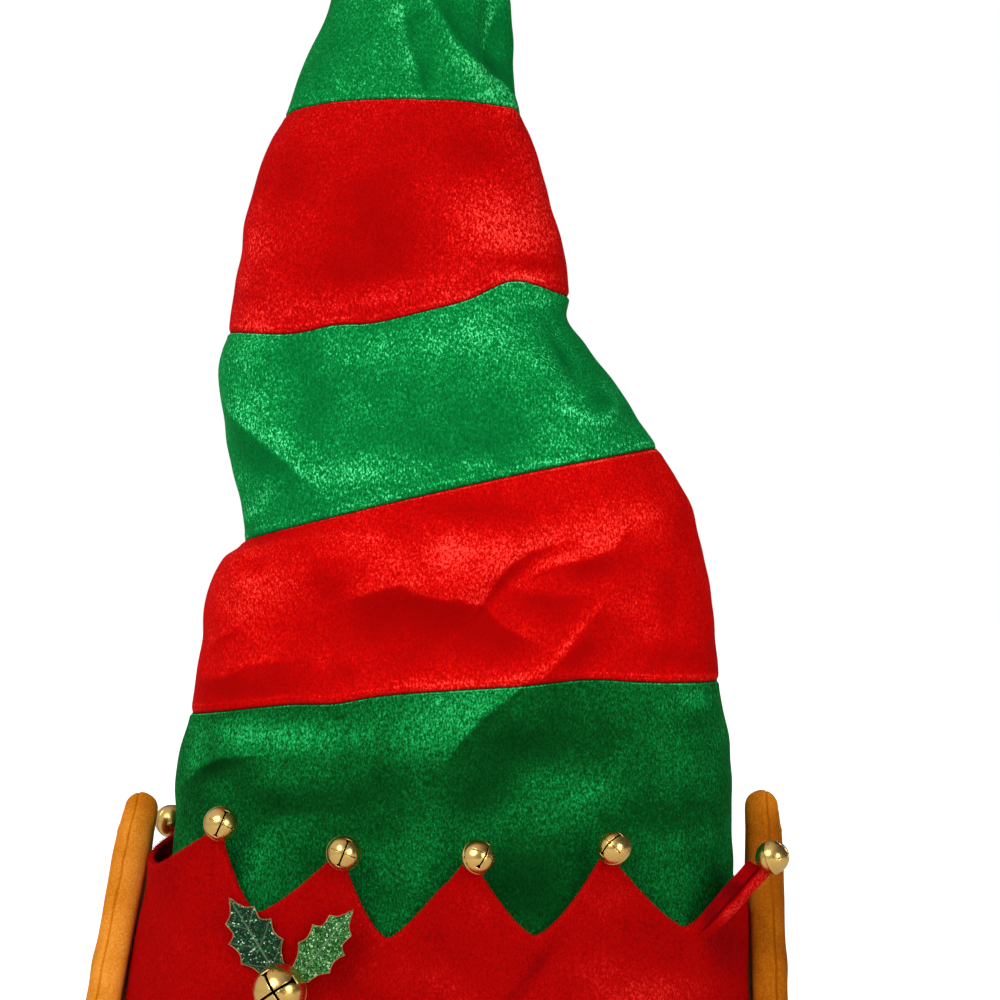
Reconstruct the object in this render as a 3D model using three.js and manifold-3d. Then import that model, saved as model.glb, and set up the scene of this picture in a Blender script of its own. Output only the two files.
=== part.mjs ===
// Elf hat in striped velour, with a turned-up zigzag cuff, jingle bells, felt ears and a holly sprig.
// Millimetres, +Z up. The front faces -Y and the origin is the middle of the rim on the ground.

import * as THREE from 'three';
import { mergeVertices } from 'three/addons/utils/BufferGeometryUtils.js';
import Module from 'manifold-3d';

const wasm = await Module();
wasm.setup();

// Rim and crown
const RIM_WIDTH = 273;
const RIM_DEPTH = 112;
const CROWN_HEIGHT = 584;
const CROWN_WALL = 2;
const STRIPE_SEAM = 0.3;
const SECTION_POWER = 2.3;
const CROWN_COLUMNS = 36;
const FOLDS_START = 0.1; // share of the way to the front where the folds begin
const FOLDS_FULL = 0.6; // and where they have their whole depth
const TIP_CLOSING = 0.35; // rows of the section table that the closed end of the tip takes
const TIP_CEILING = 0.4; // share of the way from the last row to the tip where the hollow ends

// Cuff
const CUFF_HEIGHT = 88;
const POINT_HEIGHT = 30;
const CUFF_WALL = 2.6;
const CUFF_FIT = 0.3;
const HEM_HEIGHT = 4;
const FLANK_COLUMNS = 3;
const CUFF_LEVELS = [0, 0.4, 0.72, 0.87, 1]; // rows of faces, in shares of the height up to the edge
const FLANK_CURVE = 1.45; // above 1, the flanks of the points are hollow
const BEND_CURVE = 1.4; // above 1, the points bend most at their tips

// Small bells on the points
const BELL_RADIUS = 6.9;
const BELL_WALL = 0.8;
const BELL_LIP = 0.5;
const BELL_LIP_HEIGHT = 0.8;
const BELL_SLIT = 1.2;
const BELL_SEAT = 0.3;
const BELL_OUTWARD = 0.85; // how far the small bells hang out from the hat, beside bellSide and bellRise
const BELL_FACETS = { sides: 10, steps: 3 };
const SLIT_SPAN = 1.7; // length of a slit and the height that it starts from, in shares of the radius
const SLIT_START = 0.55;

// Holly sprig
const HOLLY_BELL_RADIUS = 11;
const HOLLY_BELL_WALL = 1;
const HOLLY_BELL_SLIT = 1.8;
const HOLLY_BELL_RISE = 0.1;
const HOLLY_BELL_ROLL = 0.4;
const HOLLY_BELL_FACETS = { sides: 14, steps: 4 };
const LEAF_LENGTH = 38;
const LEAF_WIDTH = 21;
const LEAF_THICKNESS = 1;
const LEAF_LIFT = 4;
const LEAF_CUP = 0.8;
const LEAF_STALK = 0.02; // length of the closed stalk end, in shares of the leaf
const SPRIG_SEAT = 0.3;

// Ears
const EAR_HEIGHT = 133;
const EAR_DEPTH = 64;
const EAR_THICKNESS = 14;
const EAR_ROUND = 4.5;
const EAR_SHOULDER = { stand: 0.35, inset: 0.3 }; // middle of the rounding, in shares of EAR_ROUND
const EAR_SEAT = 0.3;
const EAR_CLEAR_OF_GROUND = 8;

const named = (columns, table) =>
  table.map((row) => Object.fromEntries(columns.map((name, i) => [name, row[i]])));

// Sections of the crown. The sides are shares of its half width at the rim.
// Heights run from 0 at the hem to 1 at the cuff's tips and 2 at the tip of the hat.
// depth, lean, tilt, bow and sway are shares of the half depth at the rim.
const SECTIONS = named(
  ['left', 'leftUp', 'right', 'rightUp', 'depth', 'lean', 'tilt', 'bow', 'sway'],
  [
    [-0.990, 0.000, 0.990, 0.000, 0.99, 0.00, 0.00, 0.00, 0.00], // hem
    [-0.905, 0.500, 0.965, 0.500, 0.97, 0.00, 0.00, 0.00, 0.00],
    [-0.787, 1.002, 0.950, 1.011, 0.95, 0.00, 0.00, 0.00, 0.00], // level with the cuff's tips
    [-0.781, 1.069, 0.947, 1.073, 0.96, 0.00, 0.00, 0.02, 0.00],
    [-0.734, 1.120, 0.916, 1.149, 0.94, 0.00, 0.00, 0.09, 0.00], // first seam
    [-0.697, 1.185, 0.900, 1.194, 0.96, 0.00, 0.00, 0.05, 0.00],
    [-0.687, 1.230, 0.869, 1.247, 0.99, 0.00, 0.00, 0.04, 0.00], // slumped bulge
    [-0.641, 1.258, 0.831, 1.301, 0.94, 0.00, 0.00, 0.04, 0.00],
    [-0.581, 1.273, 0.725, 1.356, 0.86, 0.00, 0.00, 0.04, 0.00], // second seam
    [-0.613, 1.341, 0.619, 1.399, 0.84, 0.01, 0.00, 0.02, 0.00],
    [-0.653, 1.417, 0.492, 1.449, 0.80, 0.02, 0.00, 0.00, 0.02],
    [-0.641, 1.444, 0.438, 1.474, 0.77, 0.02, 0.00, -0.03, 0.05],
    [-0.622, 1.459, 0.446, 1.492, 0.75, 0.02, 0.00, -0.06, 0.06], // third seam
    [-0.591, 1.525, 0.423, 1.543, 0.74, 0.03, 0.01, -0.02, 0.02],
    [-0.553, 1.581, 0.379, 1.578, 0.71, 0.05, 0.03, 0.00, 0.00],
    [-0.488, 1.630, 0.323, 1.632, 0.65, 0.09, 0.06, 0.01, 0.00],
    [-0.441, 1.652, 0.292, 1.652, 0.61, 0.12, 0.08, 0.02, 0.00], // fourth seam
    [-0.397, 1.687, 0.273, 1.690, 0.57, 0.19, 0.12, 0.00, 0.00],
    [-0.319, 1.744, 0.256, 1.748, 0.51, 0.34, 0.16, 0.00, 0.00],
    [-0.257, 1.830, 0.226, 1.839, 0.42, 0.64, 0.17, 0.00, 0.00], // fifth seam
    [-0.160, 1.909, 0.164, 1.915, 0.29, 0.97, 0.14, 0.00, 0.00],
    [-0.079, 1.967, 0.099, 1.970, 0.16, 1.24, 0.08, 0.00, 0.00],
    [0.014, 2.000, 0.014, 2.000, 0.00, 1.40, 0.00, 0.00, 0.00], // tip
  ],
);

// Stripes between rows of the section table, with the rows of faces that each one gets.
const STRIPES = [
  { name: 'stripe_1_green', from: 0, to: 4, rows: 6, colour: '#0a6a31' },
  { name: 'stripe_2_red', from: 4, to: 8, rows: 6, colour: '#c30f0c' },
  { name: 'stripe_3_green', from: 8, to: 12, rows: 5, colour: '#0f8f45' },
  { name: 'stripe_4_red', from: 12, to: 16, rows: 5, colour: '#cc100e' },
  { name: 'stripe_5_green', from: 16, to: 19, rows: 4, colour: '#0c8340' },
  { name: 'tip_red', from: 19, to: 22, rows: 4, colour: '#c30f0c' },
];

// Main folds of the front: a line from one end to the other, in shares as in the section table.
// width and rise are shares of the half depth at the rim, and a hollow has a negative rise.
const FOLDS = named(
  ['fromSide', 'fromUp', 'toSide', 'toUp', 'width', 'rise'],
  [
    [0.242, 1.111, 0.287, 1.007, 0.40, -0.05], // hollow down the lowest stripe
    [-0.378, 1.098, -0.197, 1.007, 0.34, 0.04],
    [-0.574, 1.256, -0.325, 1.268, 0.20, 0.06], // bulge under the left of the second seam
    [-0.240, 1.198, 0.060, 1.196, 0.42, -0.09], // hollow in the middle of the lower red
    [-0.378, 1.250, 0.140, 1.232, 0.17, 0.05],
    [0.172, 1.215, 0.362, 1.268, 0.16, -0.07],
    [0.372, 1.240, 0.590, 1.262, 0.20, -0.05],
    [-0.563, 1.384, -0.184, 1.341, 0.20, 0.06], // ridges of the middle green
    [0.339, 1.422, 0.530, 1.389, 0.20, 0.06],
    [-0.381, 1.415, -0.320, 1.360, 0.28, -0.06],
    [-0.200, 1.600, -0.060, 1.530, 0.42, -0.07], // hollow of the upper red
    [0.042, 1.740, 0.130, 1.697, 0.12, 0.08], // creases of the upper green
    [0.130, 1.697, 0.250, 1.662, 0.12, 0.07],
    [0.217, 1.800, 0.198, 1.705, 0.10, -0.12],
    [-0.040, 1.735, 0.012, 1.665, 0.12, -0.06],
  ],
);

// Sides of the cuff, in shares of the rim's half width and half depth, up to the height of its tips.
const CUFF_SIDES = named(
  ['up', 'left', 'right', 'depth'],
  [
    [0, -1.000, 1.000, 1.00],
    [1, -0.845, 0.974, 1.00],
  ],
);

// Points of the cuff, from the front towards the right. Turns are degrees from the front.
// valleyUp and tipUp are shares of the height of a point, lean of the same height,
// shift is a sideways bend of the tip. bellSide and bellRise say on which side of the tip its bell
// hangs, faceSide and faceRise where the bell's slits face, and slitTurn is their turn in degrees.
const POINTS = named(
  [
    'valleyTurn', 'valleyUp', 'tipTurn', 'tipUp', 'lean', 'shift',
    'bellSide', 'bellRise', 'faceSide', 'faceRise', 'slitTurn',
  ],
  [
    [-74.4, 0.82, -46.3, 1.39, 0.14, 0.00, 0.83, 0.38, 0.52, 0.09, 70],
    [-33.8, 0.26, -17.2, 1.13, 0.14, 0.00, 0.40, -0.07, 0.16, 0.08, 70],
    [-7.5, -0.06, 2.7, 1.07, 0.14, 0.00, 0.48, -0.03, 0.56, 0.28, 88],
    [14.5, -0.03, 27.5, 1.12, 0.14, 0.00, 0.15, 0.17, -0.59, 0.51, 32],
    [49.0, 0.03, 68.3, 0.87, 0.76, -0.22, -0.17, 0.60, 0.35, 0.31, -10], // folded out over the ear
    [84.0, 0.20, 122.0, 0.98, 0.00, 0.00, 0.00, 0.50, 0.20, 0.20, 50], // held flat by the right ear
    [137.0, 0.05, 148.0, 0.96, 0.16, 0.00, 0.20, 0.50, -0.30, 0.10, 80],
    [159.0, 0.00, 170.0, 0.98, 0.14, 0.00, -0.20, 0.50, 0.40, 0.30, 20],
    [181.0, 0.05, 192.0, 0.95, 0.14, 0.00, 0.20, 0.50, 0.00, -0.10, 60],
    [203.0, 0.00, 216.0, 1.00, 0.16, 0.00, 0.00, 0.50, -0.20, 0.40, 100],
    [230.0, 0.10, 248.0, 1.16, 0.00, 0.00, -0.30, 0.50, -0.10, 0.20, 40], // seen past the left
  ],
);

// Outline of an ear from its lobe up the front edge to the tip and down the back.
// Both are shares: depth of the ear's depth, up of its height.
const EAR_OUTLINE = named(
  ['depth', 'up'],
  [
    [0.34, 0.00],
    [0.14, 0.09],
    [0.03, 0.25],
    [0.00, 0.42],
    [0.06, 0.60],
    [0.16, 0.75],
    [0.25, 0.88],
    [0.31, 0.97],
    [0.345, 1.00],
    [0.39, 0.97],
    [0.48, 0.88],
    [0.64, 0.76],
    [0.82, 0.64],
    [0.95, 0.51],
    [1.00, 0.38],
    [0.95, 0.23],
    [0.81, 0.10],
    [0.58, 0.01],
  ],
);
const EAR_SPINE = [[0.46, 0.17], [0.37, 0.87]]; // ends of the line that the edges round towards
const EAR_FRONT = 0.22; // share of the ear that lies in front of the cuff's widest place

// Half of a holly leaf: spines and the hollows between them, in shares of its length and half width.
const LEAF_OUTLINE = named(
  ['along', 'side'],
  [
    [0.00, 0.25],
    [0.07, 0.50],
    [0.16, 0.60],
    [0.28, 0.98],
    [0.41, 0.82],
    [0.53, 1.00],
    [0.63, 0.62],
    [0.75, 0.68],
    [0.86, 0.26],
    [0.94, 0.11],
  ],
);
const SPRIG = { side: -0.41, up: 0.735 }; // place of the sprig's bell on the cuff
const LEAVES = [
  { name: 'holly_leaf_left', turn: 32, colour: '#1d4a26' },
  { name: 'holly_leaf_right', turn: -39, colour: '#2c7a34' },
];

const rimHalfWidth = RIM_WIDTH / 2;
const rimHalfDepth = RIM_DEPTH / 2;
const crownHalfWidth = rimHalfWidth - CUFF_WALL - CUFF_FIT;
const crownHalfDepth = rimHalfDepth - CUFF_WALL - CUFF_FIT;
const crownFoot = HEM_HEIGHT + CUFF_FIT;
const cuffTop = CUFF_HEIGHT + POINT_HEIGHT;
const bellReach = BELL_RADIUS + BELL_SEAT;

const finish = (color, roughness, metalness) =>
  new THREE.MeshStandardMaterial({ color, roughness, metalness });
const velour = (colour) => finish(colour, 0.85, 0);
const felt = finish('#c47a1c', 0.95, 0);
const brass = finish('#d9b76a', 0.18, 1);
const glitterLeaf = (colour) => finish(colour, 0.45, 0.1);

const mix = THREE.MathUtils.lerp;
const smooth = THREE.MathUtils.smoothstep;
const rounded = (value) => Math.sign(value) * Math.abs(value) ** (2 / SECTION_POWER);

// A closed skin over loops of points that all run the same way round.
function skin(loops, { wrap = false, startPole = null, endPole = null } = {}) {
  const columns = loops[0].length;
  const points = loops.flat();
  const index = [];
  const at = (row, column) => (row % loops.length) * columns + (column % columns);
  const rows = wrap ? loops.length : loops.length - 1;
  for (let row = 0; row < rows; row++) {
    for (let column = 0; column < columns; column++) {
      const corners = [at(row, column), at(row, column + 1), at(row + 1, column + 1), at(row + 1, column)];
      index.push(corners[0], corners[1], corners[2], corners[0], corners[2], corners[3]);
    }
  }
  const last = loops.length - 1;
  for (let column = 0; column < columns; column++) {
    if (startPole) index.push(points.length, at(0, column + 1), at(0, column));
    if (endPole) index.push(at(last, column), at(last, column + 1), points.length + 1);
  }
  if (startPole) points.push(startPole, endPole);
  const geometry = new THREE.BufferGeometry().setFromPoints(points);
  geometry.setIndex(index);
  geometry.computeVertexNormals();
  return geometry;
}

// Heights and sections of the crown
const heightAt = (up) => (up <= 1 ? mix(crownFoot, cuffTop, up) : mix(cuffTop, CROWN_HEIGHT, up - 1));
const throughRows = (pick) => new THREE.CatmullRomCurve3(SECTIONS.map(pick), false, 'centripetal');
const edgePoint = (side, up) => new THREE.Vector3(side * crownHalfWidth, 0, heightAt(up));
const leftEdge = throughRows((row) => edgePoint(row.left, row.leftUp));
const rightEdge = throughRows((row) => edgePoint(row.right, row.rightUp));
const ofDepth = (...shares) => new THREE.Vector3(...shares).multiplyScalar(crownHalfDepth);
const depths = throughRows((row) => ofDepth(row.depth, row.lean, row.tilt));
const bends = throughRows((row) => ofDepth(row.bow, row.sway, 0));

function foldRise(side, height, toBack) {
  let rise = 0;
  for (const fold of FOLDS) {
    const from = new THREE.Vector2(fold.fromSide * crownHalfWidth, heightAt(fold.fromUp));
    const to = new THREE.Vector2(fold.toSide * crownHalfWidth, heightAt(fold.toUp));
    const run = to.clone().sub(from);
    const place = new THREE.Vector2(side, height);
    const along = THREE.MathUtils.clamp(place.clone().sub(from).dot(run) / run.lengthSq(), 0, 1);
    const away = place.distanceTo(from.addScaledVector(run, along)) / (fold.width * crownHalfDepth);
    rise += fold.rise * crownHalfDepth * Math.exp(-away * away);
  }
  return rise * smooth(-toBack, FOLDS_START, FOLDS_FULL);
}

function crownPoint(row, turn, inset) {
  const share = row / (SECTIONS.length - 1);
  const left = leftEdge.getPoint(share);
  const right = rightEdge.getPoint(share);
  const { x: halfDepth, y: lean, z: tilt } = depths.getPoint(share);
  const { x: bow, y: sway } = bends.getPoint(share);
  const halfWidth = (right.x - left.x) / 2;
  const across = rounded(Math.sin(turn));
  const toBack = -rounded(Math.cos(turn));
  const frontShare = (1 - toBack) / 2;
  const z = mix(left.z, right.z, (across + 1) / 2)
    - tilt * toBack + bow * (1 - across * across) + sway * Math.sin(Math.PI * across) * frontShare;
  const side = (left.x + right.x) / 2 + across * halfWidth;
  const rise = foldRise(side, z, toBack);
  const outward = new THREE.Vector2(across * halfDepth, toBack * halfWidth).normalize();
  return new THREE.Vector3(
    side - across * inset + outward.x * rise,
    lean + toBack * (halfDepth - inset) + outward.y * rise,
    z,
  );
}

const turnOf = (column) => (column / CROWN_COLUMNS) * 2 * Math.PI;
const crownLoop = (row, inset) =>
  Array.from({ length: CROWN_COLUMNS }, (_, column) => crownPoint(row, turnOf(column), inset));

// How far a table row has to be left for the seam between two stripes to stay open by its half.
function seamStep(row, way) {
  const trialStep = 0.02 * way;
  const share = (value) => value / (SECTIONS.length - 1);
  const climbs = [leftEdge, rightEdge].map((edge) =>
    Math.abs(edge.getPoint(share(row + trialStep)).z - edge.getPoint(share(row)).z));
  return (trialStep * (STRIPE_SEAM / 2)) / Math.min(...climbs);
}

function makeStripe({ name, from, to, rows, colour }) {
  const isTip = to === SECTIONS.length - 1;
  const first = from === 0 ? 0 : from + seamStep(from, 1);
  const last = isTip ? to - TIP_CLOSING : to + seamStep(to, -1);
  const levels = Array.from({ length: rows + 1 }, (_, i) => mix(first, last, i / rows));
  const outside = levels.map((row) => crownLoop(row, 0));
  const inside = levels.map((row) => crownLoop(row, CROWN_WALL)).reverse();
  if (!isTip) return new THREE.Mesh(skin([...outside, ...inside], { wrap: true }), velour(colour));
  const apex = crownPoint(to, 0, 0);
  const ceiling = inside[0][0].clone().lerp(inside[0][CROWN_COLUMNS / 2], 0.5).lerp(apex, TIP_CEILING);
  const closed = skin([...inside, ...outside], { startPole: ceiling, endPole: apex });
  return new THREE.Mesh(closed, velour(colour));
}

// Cuff: a hollow band whose turned-in hem carries the crown
function cuffSides(height) {
  const [rim, top] = CUFF_SIDES;
  const share = height / cuffTop;
  return {
    left: mix(rim.left, top.left, share) * rimHalfWidth,
    right: mix(rim.right, top.right, share) * rimHalfWidth,
    halfDepth: mix(rim.depth, top.depth, share) * rimHalfDepth,
  };
}

function cuffPoint(turn, height, inset, point, bend) {
  const { left, right, halfDepth } = cuffSides(height);
  const halfWidth = (right - left) / 2;
  const across = rounded(Math.sin(turn));
  const toBack = -rounded(Math.cos(turn));
  const outward = new THREE.Vector2(across * halfDepth, toBack * halfWidth).normalize();
  const lean = point.lean * POINT_HEIGHT * bend;
  const shift = point.shift * POINT_HEIGHT * bend;
  return new THREE.Vector3(
    (left + right) / 2 + across * (halfWidth - inset) + outward.x * lean - outward.y * shift,
    toBack * (halfDepth - inset) + outward.y * lean + outward.x * shift,
    height,
  );
}

// Columns of the cuff, each with its turn, the height of its edge and how far that edge bends.
function cuffColumns() {
  const columns = [];
  POINTS.forEach((point, i) => {
    const next = POINTS[(i + 1) % POINTS.length];
    const nextTurn = next.valleyTurn + (i + 1 === POINTS.length ? 360 : 0);
    const tip = CUFF_HEIGHT + point.tipUp * POINT_HEIGHT;
    const flanks = [
      { from: point.valleyTurn, valleyUp: point.valleyUp, falling: false },
      { from: nextTurn, valleyUp: next.valleyUp, falling: true },
    ];
    for (const { from, valleyUp, falling } of flanks) {
      for (let step = 0; step < FLANK_COLUMNS; step++) {
        const climb = (falling ? FLANK_COLUMNS - step : step) / FLANK_COLUMNS;
        const valley = CUFF_HEIGHT + valleyUp * POINT_HEIGHT;
        const rise = climb ** FLANK_CURVE;
        columns.push({
          point,
          turn: THREE.MathUtils.degToRad(mix(from, point.tipTurn, climb)),
          valley,
          edge: mix(valley, tip, rise),
          tip,
        });
      }
    }
  });
  return columns;
}

function columnPoint(column, height, inset) {
  const climb = Math.max(0, (height - column.valley) / (column.tip - column.valley));
  return cuffPoint(column.turn, height, inset, column.point, climb ** BEND_CURVE);
}

function makeCuff() {
  const columns = cuffColumns();
  const loop = (level, inset) => columns.map((column) => columnPoint(column, level * column.edge, inset));
  const outside = CUFF_LEVELS.map((level) => loop(level, 0));
  const inside = CUFF_LEVELS.slice(1).reverse().map((level) => loop(level, CUFF_WALL));
  const hemInset = CUFF_WALL + CUFF_FIT + CROWN_WALL;
  const hem = [
    columns.map((column) => columnPoint(column, HEM_HEIGHT, CUFF_WALL)),
    columns.map((column) => columnPoint(column, HEM_HEIGHT, hemInset)),
    columns.map((column) => columnPoint(column, 0, hemInset)),
  ];
  return new THREE.Mesh(skin([...outside, ...inside, ...hem], { wrap: true }), velour('#b50b0a'));
}

// Jingle bells
function solidFrom(geometry) {
  const plain = geometry.clone();
  plain.deleteAttribute('normal');
  plain.deleteAttribute('uv');
  const merged = mergeVertices(plain);
  return new wasm.Manifold(new wasm.Mesh({
    numProp: 3,
    vertProperties: new Float32Array(merged.attributes.position.array),
    triVerts: new Uint32Array(merged.index.array),
  }));
}

function geometryFrom(solid) {
  const mesh = solid.getMesh();
  const geometry = new THREE.BufferGeometry();
  geometry.setAttribute('position', new THREE.BufferAttribute(new Float32Array(mesh.vertProperties), 3));
  geometry.setIndex(new THREE.BufferAttribute(new Uint32Array(mesh.triVerts), 1));
  geometry.computeVertexNormals();
  return geometry;
}

// A pressed ball with a lip round its middle and a cross slit round its upper pole.
function bellGeometry(radius, wall, slit, { sides, steps }) {
  const profile = [new THREE.Vector2(0, -radius)];
  const lip = BELL_LIP_HEIGHT / 2;
  const lipAngle = Math.asin(lip / radius);
  for (let i = 1; i < steps; i++) {
    const angle = mix(-Math.PI / 2, -lipAngle, i / steps);
    profile.push(new THREE.Vector2(radius * Math.cos(angle), radius * Math.sin(angle)));
  }
  profile.push(new THREE.Vector2(radius * Math.cos(lipAngle), -lip));
  profile.push(new THREE.Vector2(radius + BELL_LIP, -lip));
  const upper = profile.map((point) => new THREE.Vector2(point.x, -point.y)).reverse();
  const outside = new THREE.LatheGeometry([...profile, ...upper], sides).rotateX(Math.PI / 2);
  const inside = new THREE.SphereGeometry(radius - wall, sides - 2, steps + 2);
  const slitLength = radius * SLIT_SPAN;
  const slitDepth = radius;
  let solid = solidFrom(outside).subtract(solidFrom(inside));
  for (const turn of [0, Math.PI / 2]) {
    const cutter = new THREE.BoxGeometry(slitLength, slit, slitDepth);
    cutter.rotateZ(turn);
    cutter.translate(0, 0, radius * SLIT_START + slitDepth / 2);
    solid = solid.subtract(solidFrom(cutter));
  }
  return geometryFrom(solid);
}

function turnedTo(mesh, centre, direction, roll) {
  mesh.position.copy(centre);
  mesh.quaternion.setFromUnitVectors(new THREE.Vector3(0, 0, 1), direction.clone().normalize());
  mesh.rotateZ(roll);
  return mesh;
}

function makeBells() {
  const geometry = bellGeometry(BELL_RADIUS, BELL_WALL, BELL_SLIT, BELL_FACETS);
  return POINTS.map((point, i) => {
    const turn = THREE.MathUtils.degToRad(point.tipTurn);
    const tipHeight = CUFF_HEIGHT + point.tipUp * POINT_HEIGHT;
    const tip = cuffPoint(turn, tipHeight, 0, point, 1);
    const outward = new THREE.Vector3(Math.sin(turn) * rimHalfDepth, -Math.cos(turn) * rimHalfWidth, 0);
    outward.normalize();
    const sideways = new THREE.Vector3(-outward.y, outward.x, 0);
    const towards = (out, side, rise) =>
      outward.clone().multiplyScalar(out).addScaledVector(sideways, side).setZ(rise).normalize();
    const hanging = towards(BELL_OUTWARD, point.bellSide, point.bellRise);
    const facing = towards(1, point.faceSide, point.faceRise);
    const slitTurn = THREE.MathUtils.degToRad(point.slitTurn);
    const bell = new THREE.Mesh(geometry, brass);
    bell.name = `bell_${i + 1}`;
    return turnedTo(bell, tip.addScaledVector(hanging, bellReach), facing, slitTurn);
  });
}

// Holly sprig on the front of the cuff
function cuffFront(side, height) {
  const { left, right, halfDepth } = cuffSides(height);
  const across = (side - (left + right) / 2) / ((right - left) / 2);
  return -halfDepth * (1 - Math.abs(across) ** SECTION_POWER) ** (1 / SECTION_POWER);
}

const sprigSide = SPRIG.side * rimHalfWidth;
const sprigHeight = SPRIG.up * CUFF_HEIGHT;
const leafStart = Math.sqrt(2 * HOLLY_BELL_RADIUS * (LEAF_THICKNESS + 3 * SPRIG_SEAT));

function makeLeaf({ name, turn, colour }) {
  const angle = THREE.MathUtils.degToRad(turn);
  const along = new THREE.Vector2(-Math.sin(angle), Math.cos(angle));
  const leafPoint = (share, side, raise) => {
    const reach = leafStart + share * LEAF_LENGTH;
    const offset = (side * LEAF_WIDTH) / 2;
    const x = sprigSide + along.x * reach + along.y * offset;
    const z = sprigHeight + along.y * reach - along.x * offset;
    const lift = LEAF_LIFT * share * share + LEAF_CUP * side * side * share;
    return new THREE.Vector3(x, cuffFront(x, z) - SPRIG_SEAT - lift - raise, z);
  };
  const loops = LEAF_OUTLINE.map(({ along: share, side }) => [
    leafPoint(share, -side, LEAF_THICKNESS),
    leafPoint(share, 0, LEAF_THICKNESS),
    leafPoint(share, side, LEAF_THICKNESS),
    leafPoint(share, side, 0),
    leafPoint(share, 0, 0),
    leafPoint(share, -side, 0),
  ]);
  const leaf = new THREE.Mesh(
    skin(loops, {
      startPole: leafPoint(-LEAF_STALK, 0, LEAF_THICKNESS / 2),
      endPole: leafPoint(1, 0, LEAF_THICKNESS / 2),
    }),
    glitterLeaf(colour),
  );
  leaf.name = name;
  return leaf;
}

function makeHollyBell() {
  const geometry = bellGeometry(HOLLY_BELL_RADIUS, HOLLY_BELL_WALL, HOLLY_BELL_SLIT, HOLLY_BELL_FACETS);
  const seat = new THREE.Vector3(sprigSide, cuffFront(sprigSide, sprigHeight), sprigHeight);
  const slope = (cuffFront(sprigSide + 1, sprigHeight) - cuffFront(sprigSide - 1, sprigHeight)) / 2;
  const direction = new THREE.Vector3(slope, -1, HOLLY_BELL_RISE).normalize();
  const bell = new THREE.Mesh(geometry, brass);
  bell.name = 'holly_bell';
  const centre = seat.addScaledVector(direction, HOLLY_BELL_RADIUS + SPRIG_SEAT);
  return turnedTo(bell, centre, direction, HOLLY_BELL_ROLL);
}

// Padded ears, each flat against one side of the cuff, with the edge rounded towards both faces
function makeEar(name, sideName) {
  const place = (depth, up) => new THREE.Vector3((depth - EAR_FRONT) * EAR_DEPTH, up * EAR_HEIGHT, 0);
  const spine = new THREE.Line3(...EAR_SPINE.map((end) => place(...end)));
  const outwardSign = sideName === 'right' ? 1 : -1;
  const earLoop = (stand, inset) => EAR_OUTLINE.map(({ depth, up }) => {
    const edge = place(depth, up);
    const middle = spine.closestPointToPoint(edge, true, new THREE.Vector3());
    edge.lerp(middle, inset / edge.distanceTo(middle));
    return new THREE.Vector3(outwardSign * stand, edge.x, edge.y);
  });
  const loops = [
    earLoop(0, EAR_ROUND),
    earLoop(EAR_ROUND * EAR_SHOULDER.stand, EAR_ROUND * EAR_SHOULDER.inset),
    earLoop(EAR_THICKNESS / 2, 0),
    earLoop(EAR_THICKNESS - EAR_ROUND * EAR_SHOULDER.stand, EAR_ROUND * EAR_SHOULDER.inset),
    earLoop(EAR_THICKNESS, EAR_ROUND),
  ];
  if (sideName === 'right') loops.reverse();
  const centre = spine.getCenter(new THREE.Vector3());
  const pole = (stand) => new THREE.Vector3(outwardSign * stand, centre.x, centre.y);
  const poles = [pole(0), pole(EAR_THICKNESS)];
  if (sideName === 'right') poles.reverse();
  const ear = new THREE.Mesh(skin(loops, { startPole: poles[0], endPole: poles[1] }), felt);
  const [rim, top] = CUFF_SIDES;
  const slope = ((top[sideName] - rim[sideName]) * rimHalfWidth) / cuffTop;
  ear.name = name;
  ear.rotation.y = Math.atan(slope);
  ear.position.set(
    rim[sideName] * rimHalfWidth + outwardSign * EAR_SEAT + slope * EAR_CLEAR_OF_GROUND,
    0,
    EAR_CLEAR_OF_GROUND,
  );
  return ear;
}

const hat = new THREE.Group();

const cuff = makeCuff();
cuff.name = 'cuff';
hat.add(cuff);

for (const stripe of STRIPES) {
  const mesh = makeStripe(stripe);
  mesh.name = stripe.name;
  hat.add(mesh);
}

hat.add(...makeBells());
hat.add(...LEAVES.map(makeLeaf), makeHollyBell());
hat.add(makeEar('ear_left', 'left'), makeEar('ear_right', 'right'));

export default hat;
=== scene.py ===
import math

import bpy
import numpy as np
from mathutils import Matrix, Vector


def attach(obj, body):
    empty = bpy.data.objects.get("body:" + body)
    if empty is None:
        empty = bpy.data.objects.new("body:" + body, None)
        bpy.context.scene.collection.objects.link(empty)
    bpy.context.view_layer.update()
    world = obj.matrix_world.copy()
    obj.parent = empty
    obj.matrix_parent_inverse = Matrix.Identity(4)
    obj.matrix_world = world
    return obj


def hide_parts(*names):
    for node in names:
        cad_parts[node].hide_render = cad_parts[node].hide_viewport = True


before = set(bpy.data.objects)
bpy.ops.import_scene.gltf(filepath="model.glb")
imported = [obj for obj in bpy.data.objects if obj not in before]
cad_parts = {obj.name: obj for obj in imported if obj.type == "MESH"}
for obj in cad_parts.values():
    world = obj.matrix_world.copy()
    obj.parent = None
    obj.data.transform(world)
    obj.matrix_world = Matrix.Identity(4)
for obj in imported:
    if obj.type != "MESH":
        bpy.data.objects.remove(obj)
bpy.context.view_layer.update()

# Elf hat in striped velour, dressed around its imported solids. The sizes, tables and formulas that
# the solids were made from come first, in millimetres. Then come the finishes, one function for
# each, and the sewn and pressed pieces, from the cuff up to the tip.

MM = 0.001
chance = np.random.default_rng(24)

# Rim and crown
RIM_WIDTH = 273
RIM_DEPTH = 112
CROWN_HEIGHT = 584
CROWN_WALL = 2
SECTION_POWER = 2.3
FOLDS_START = 0.1
FOLDS_FULL = 0.6

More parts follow.
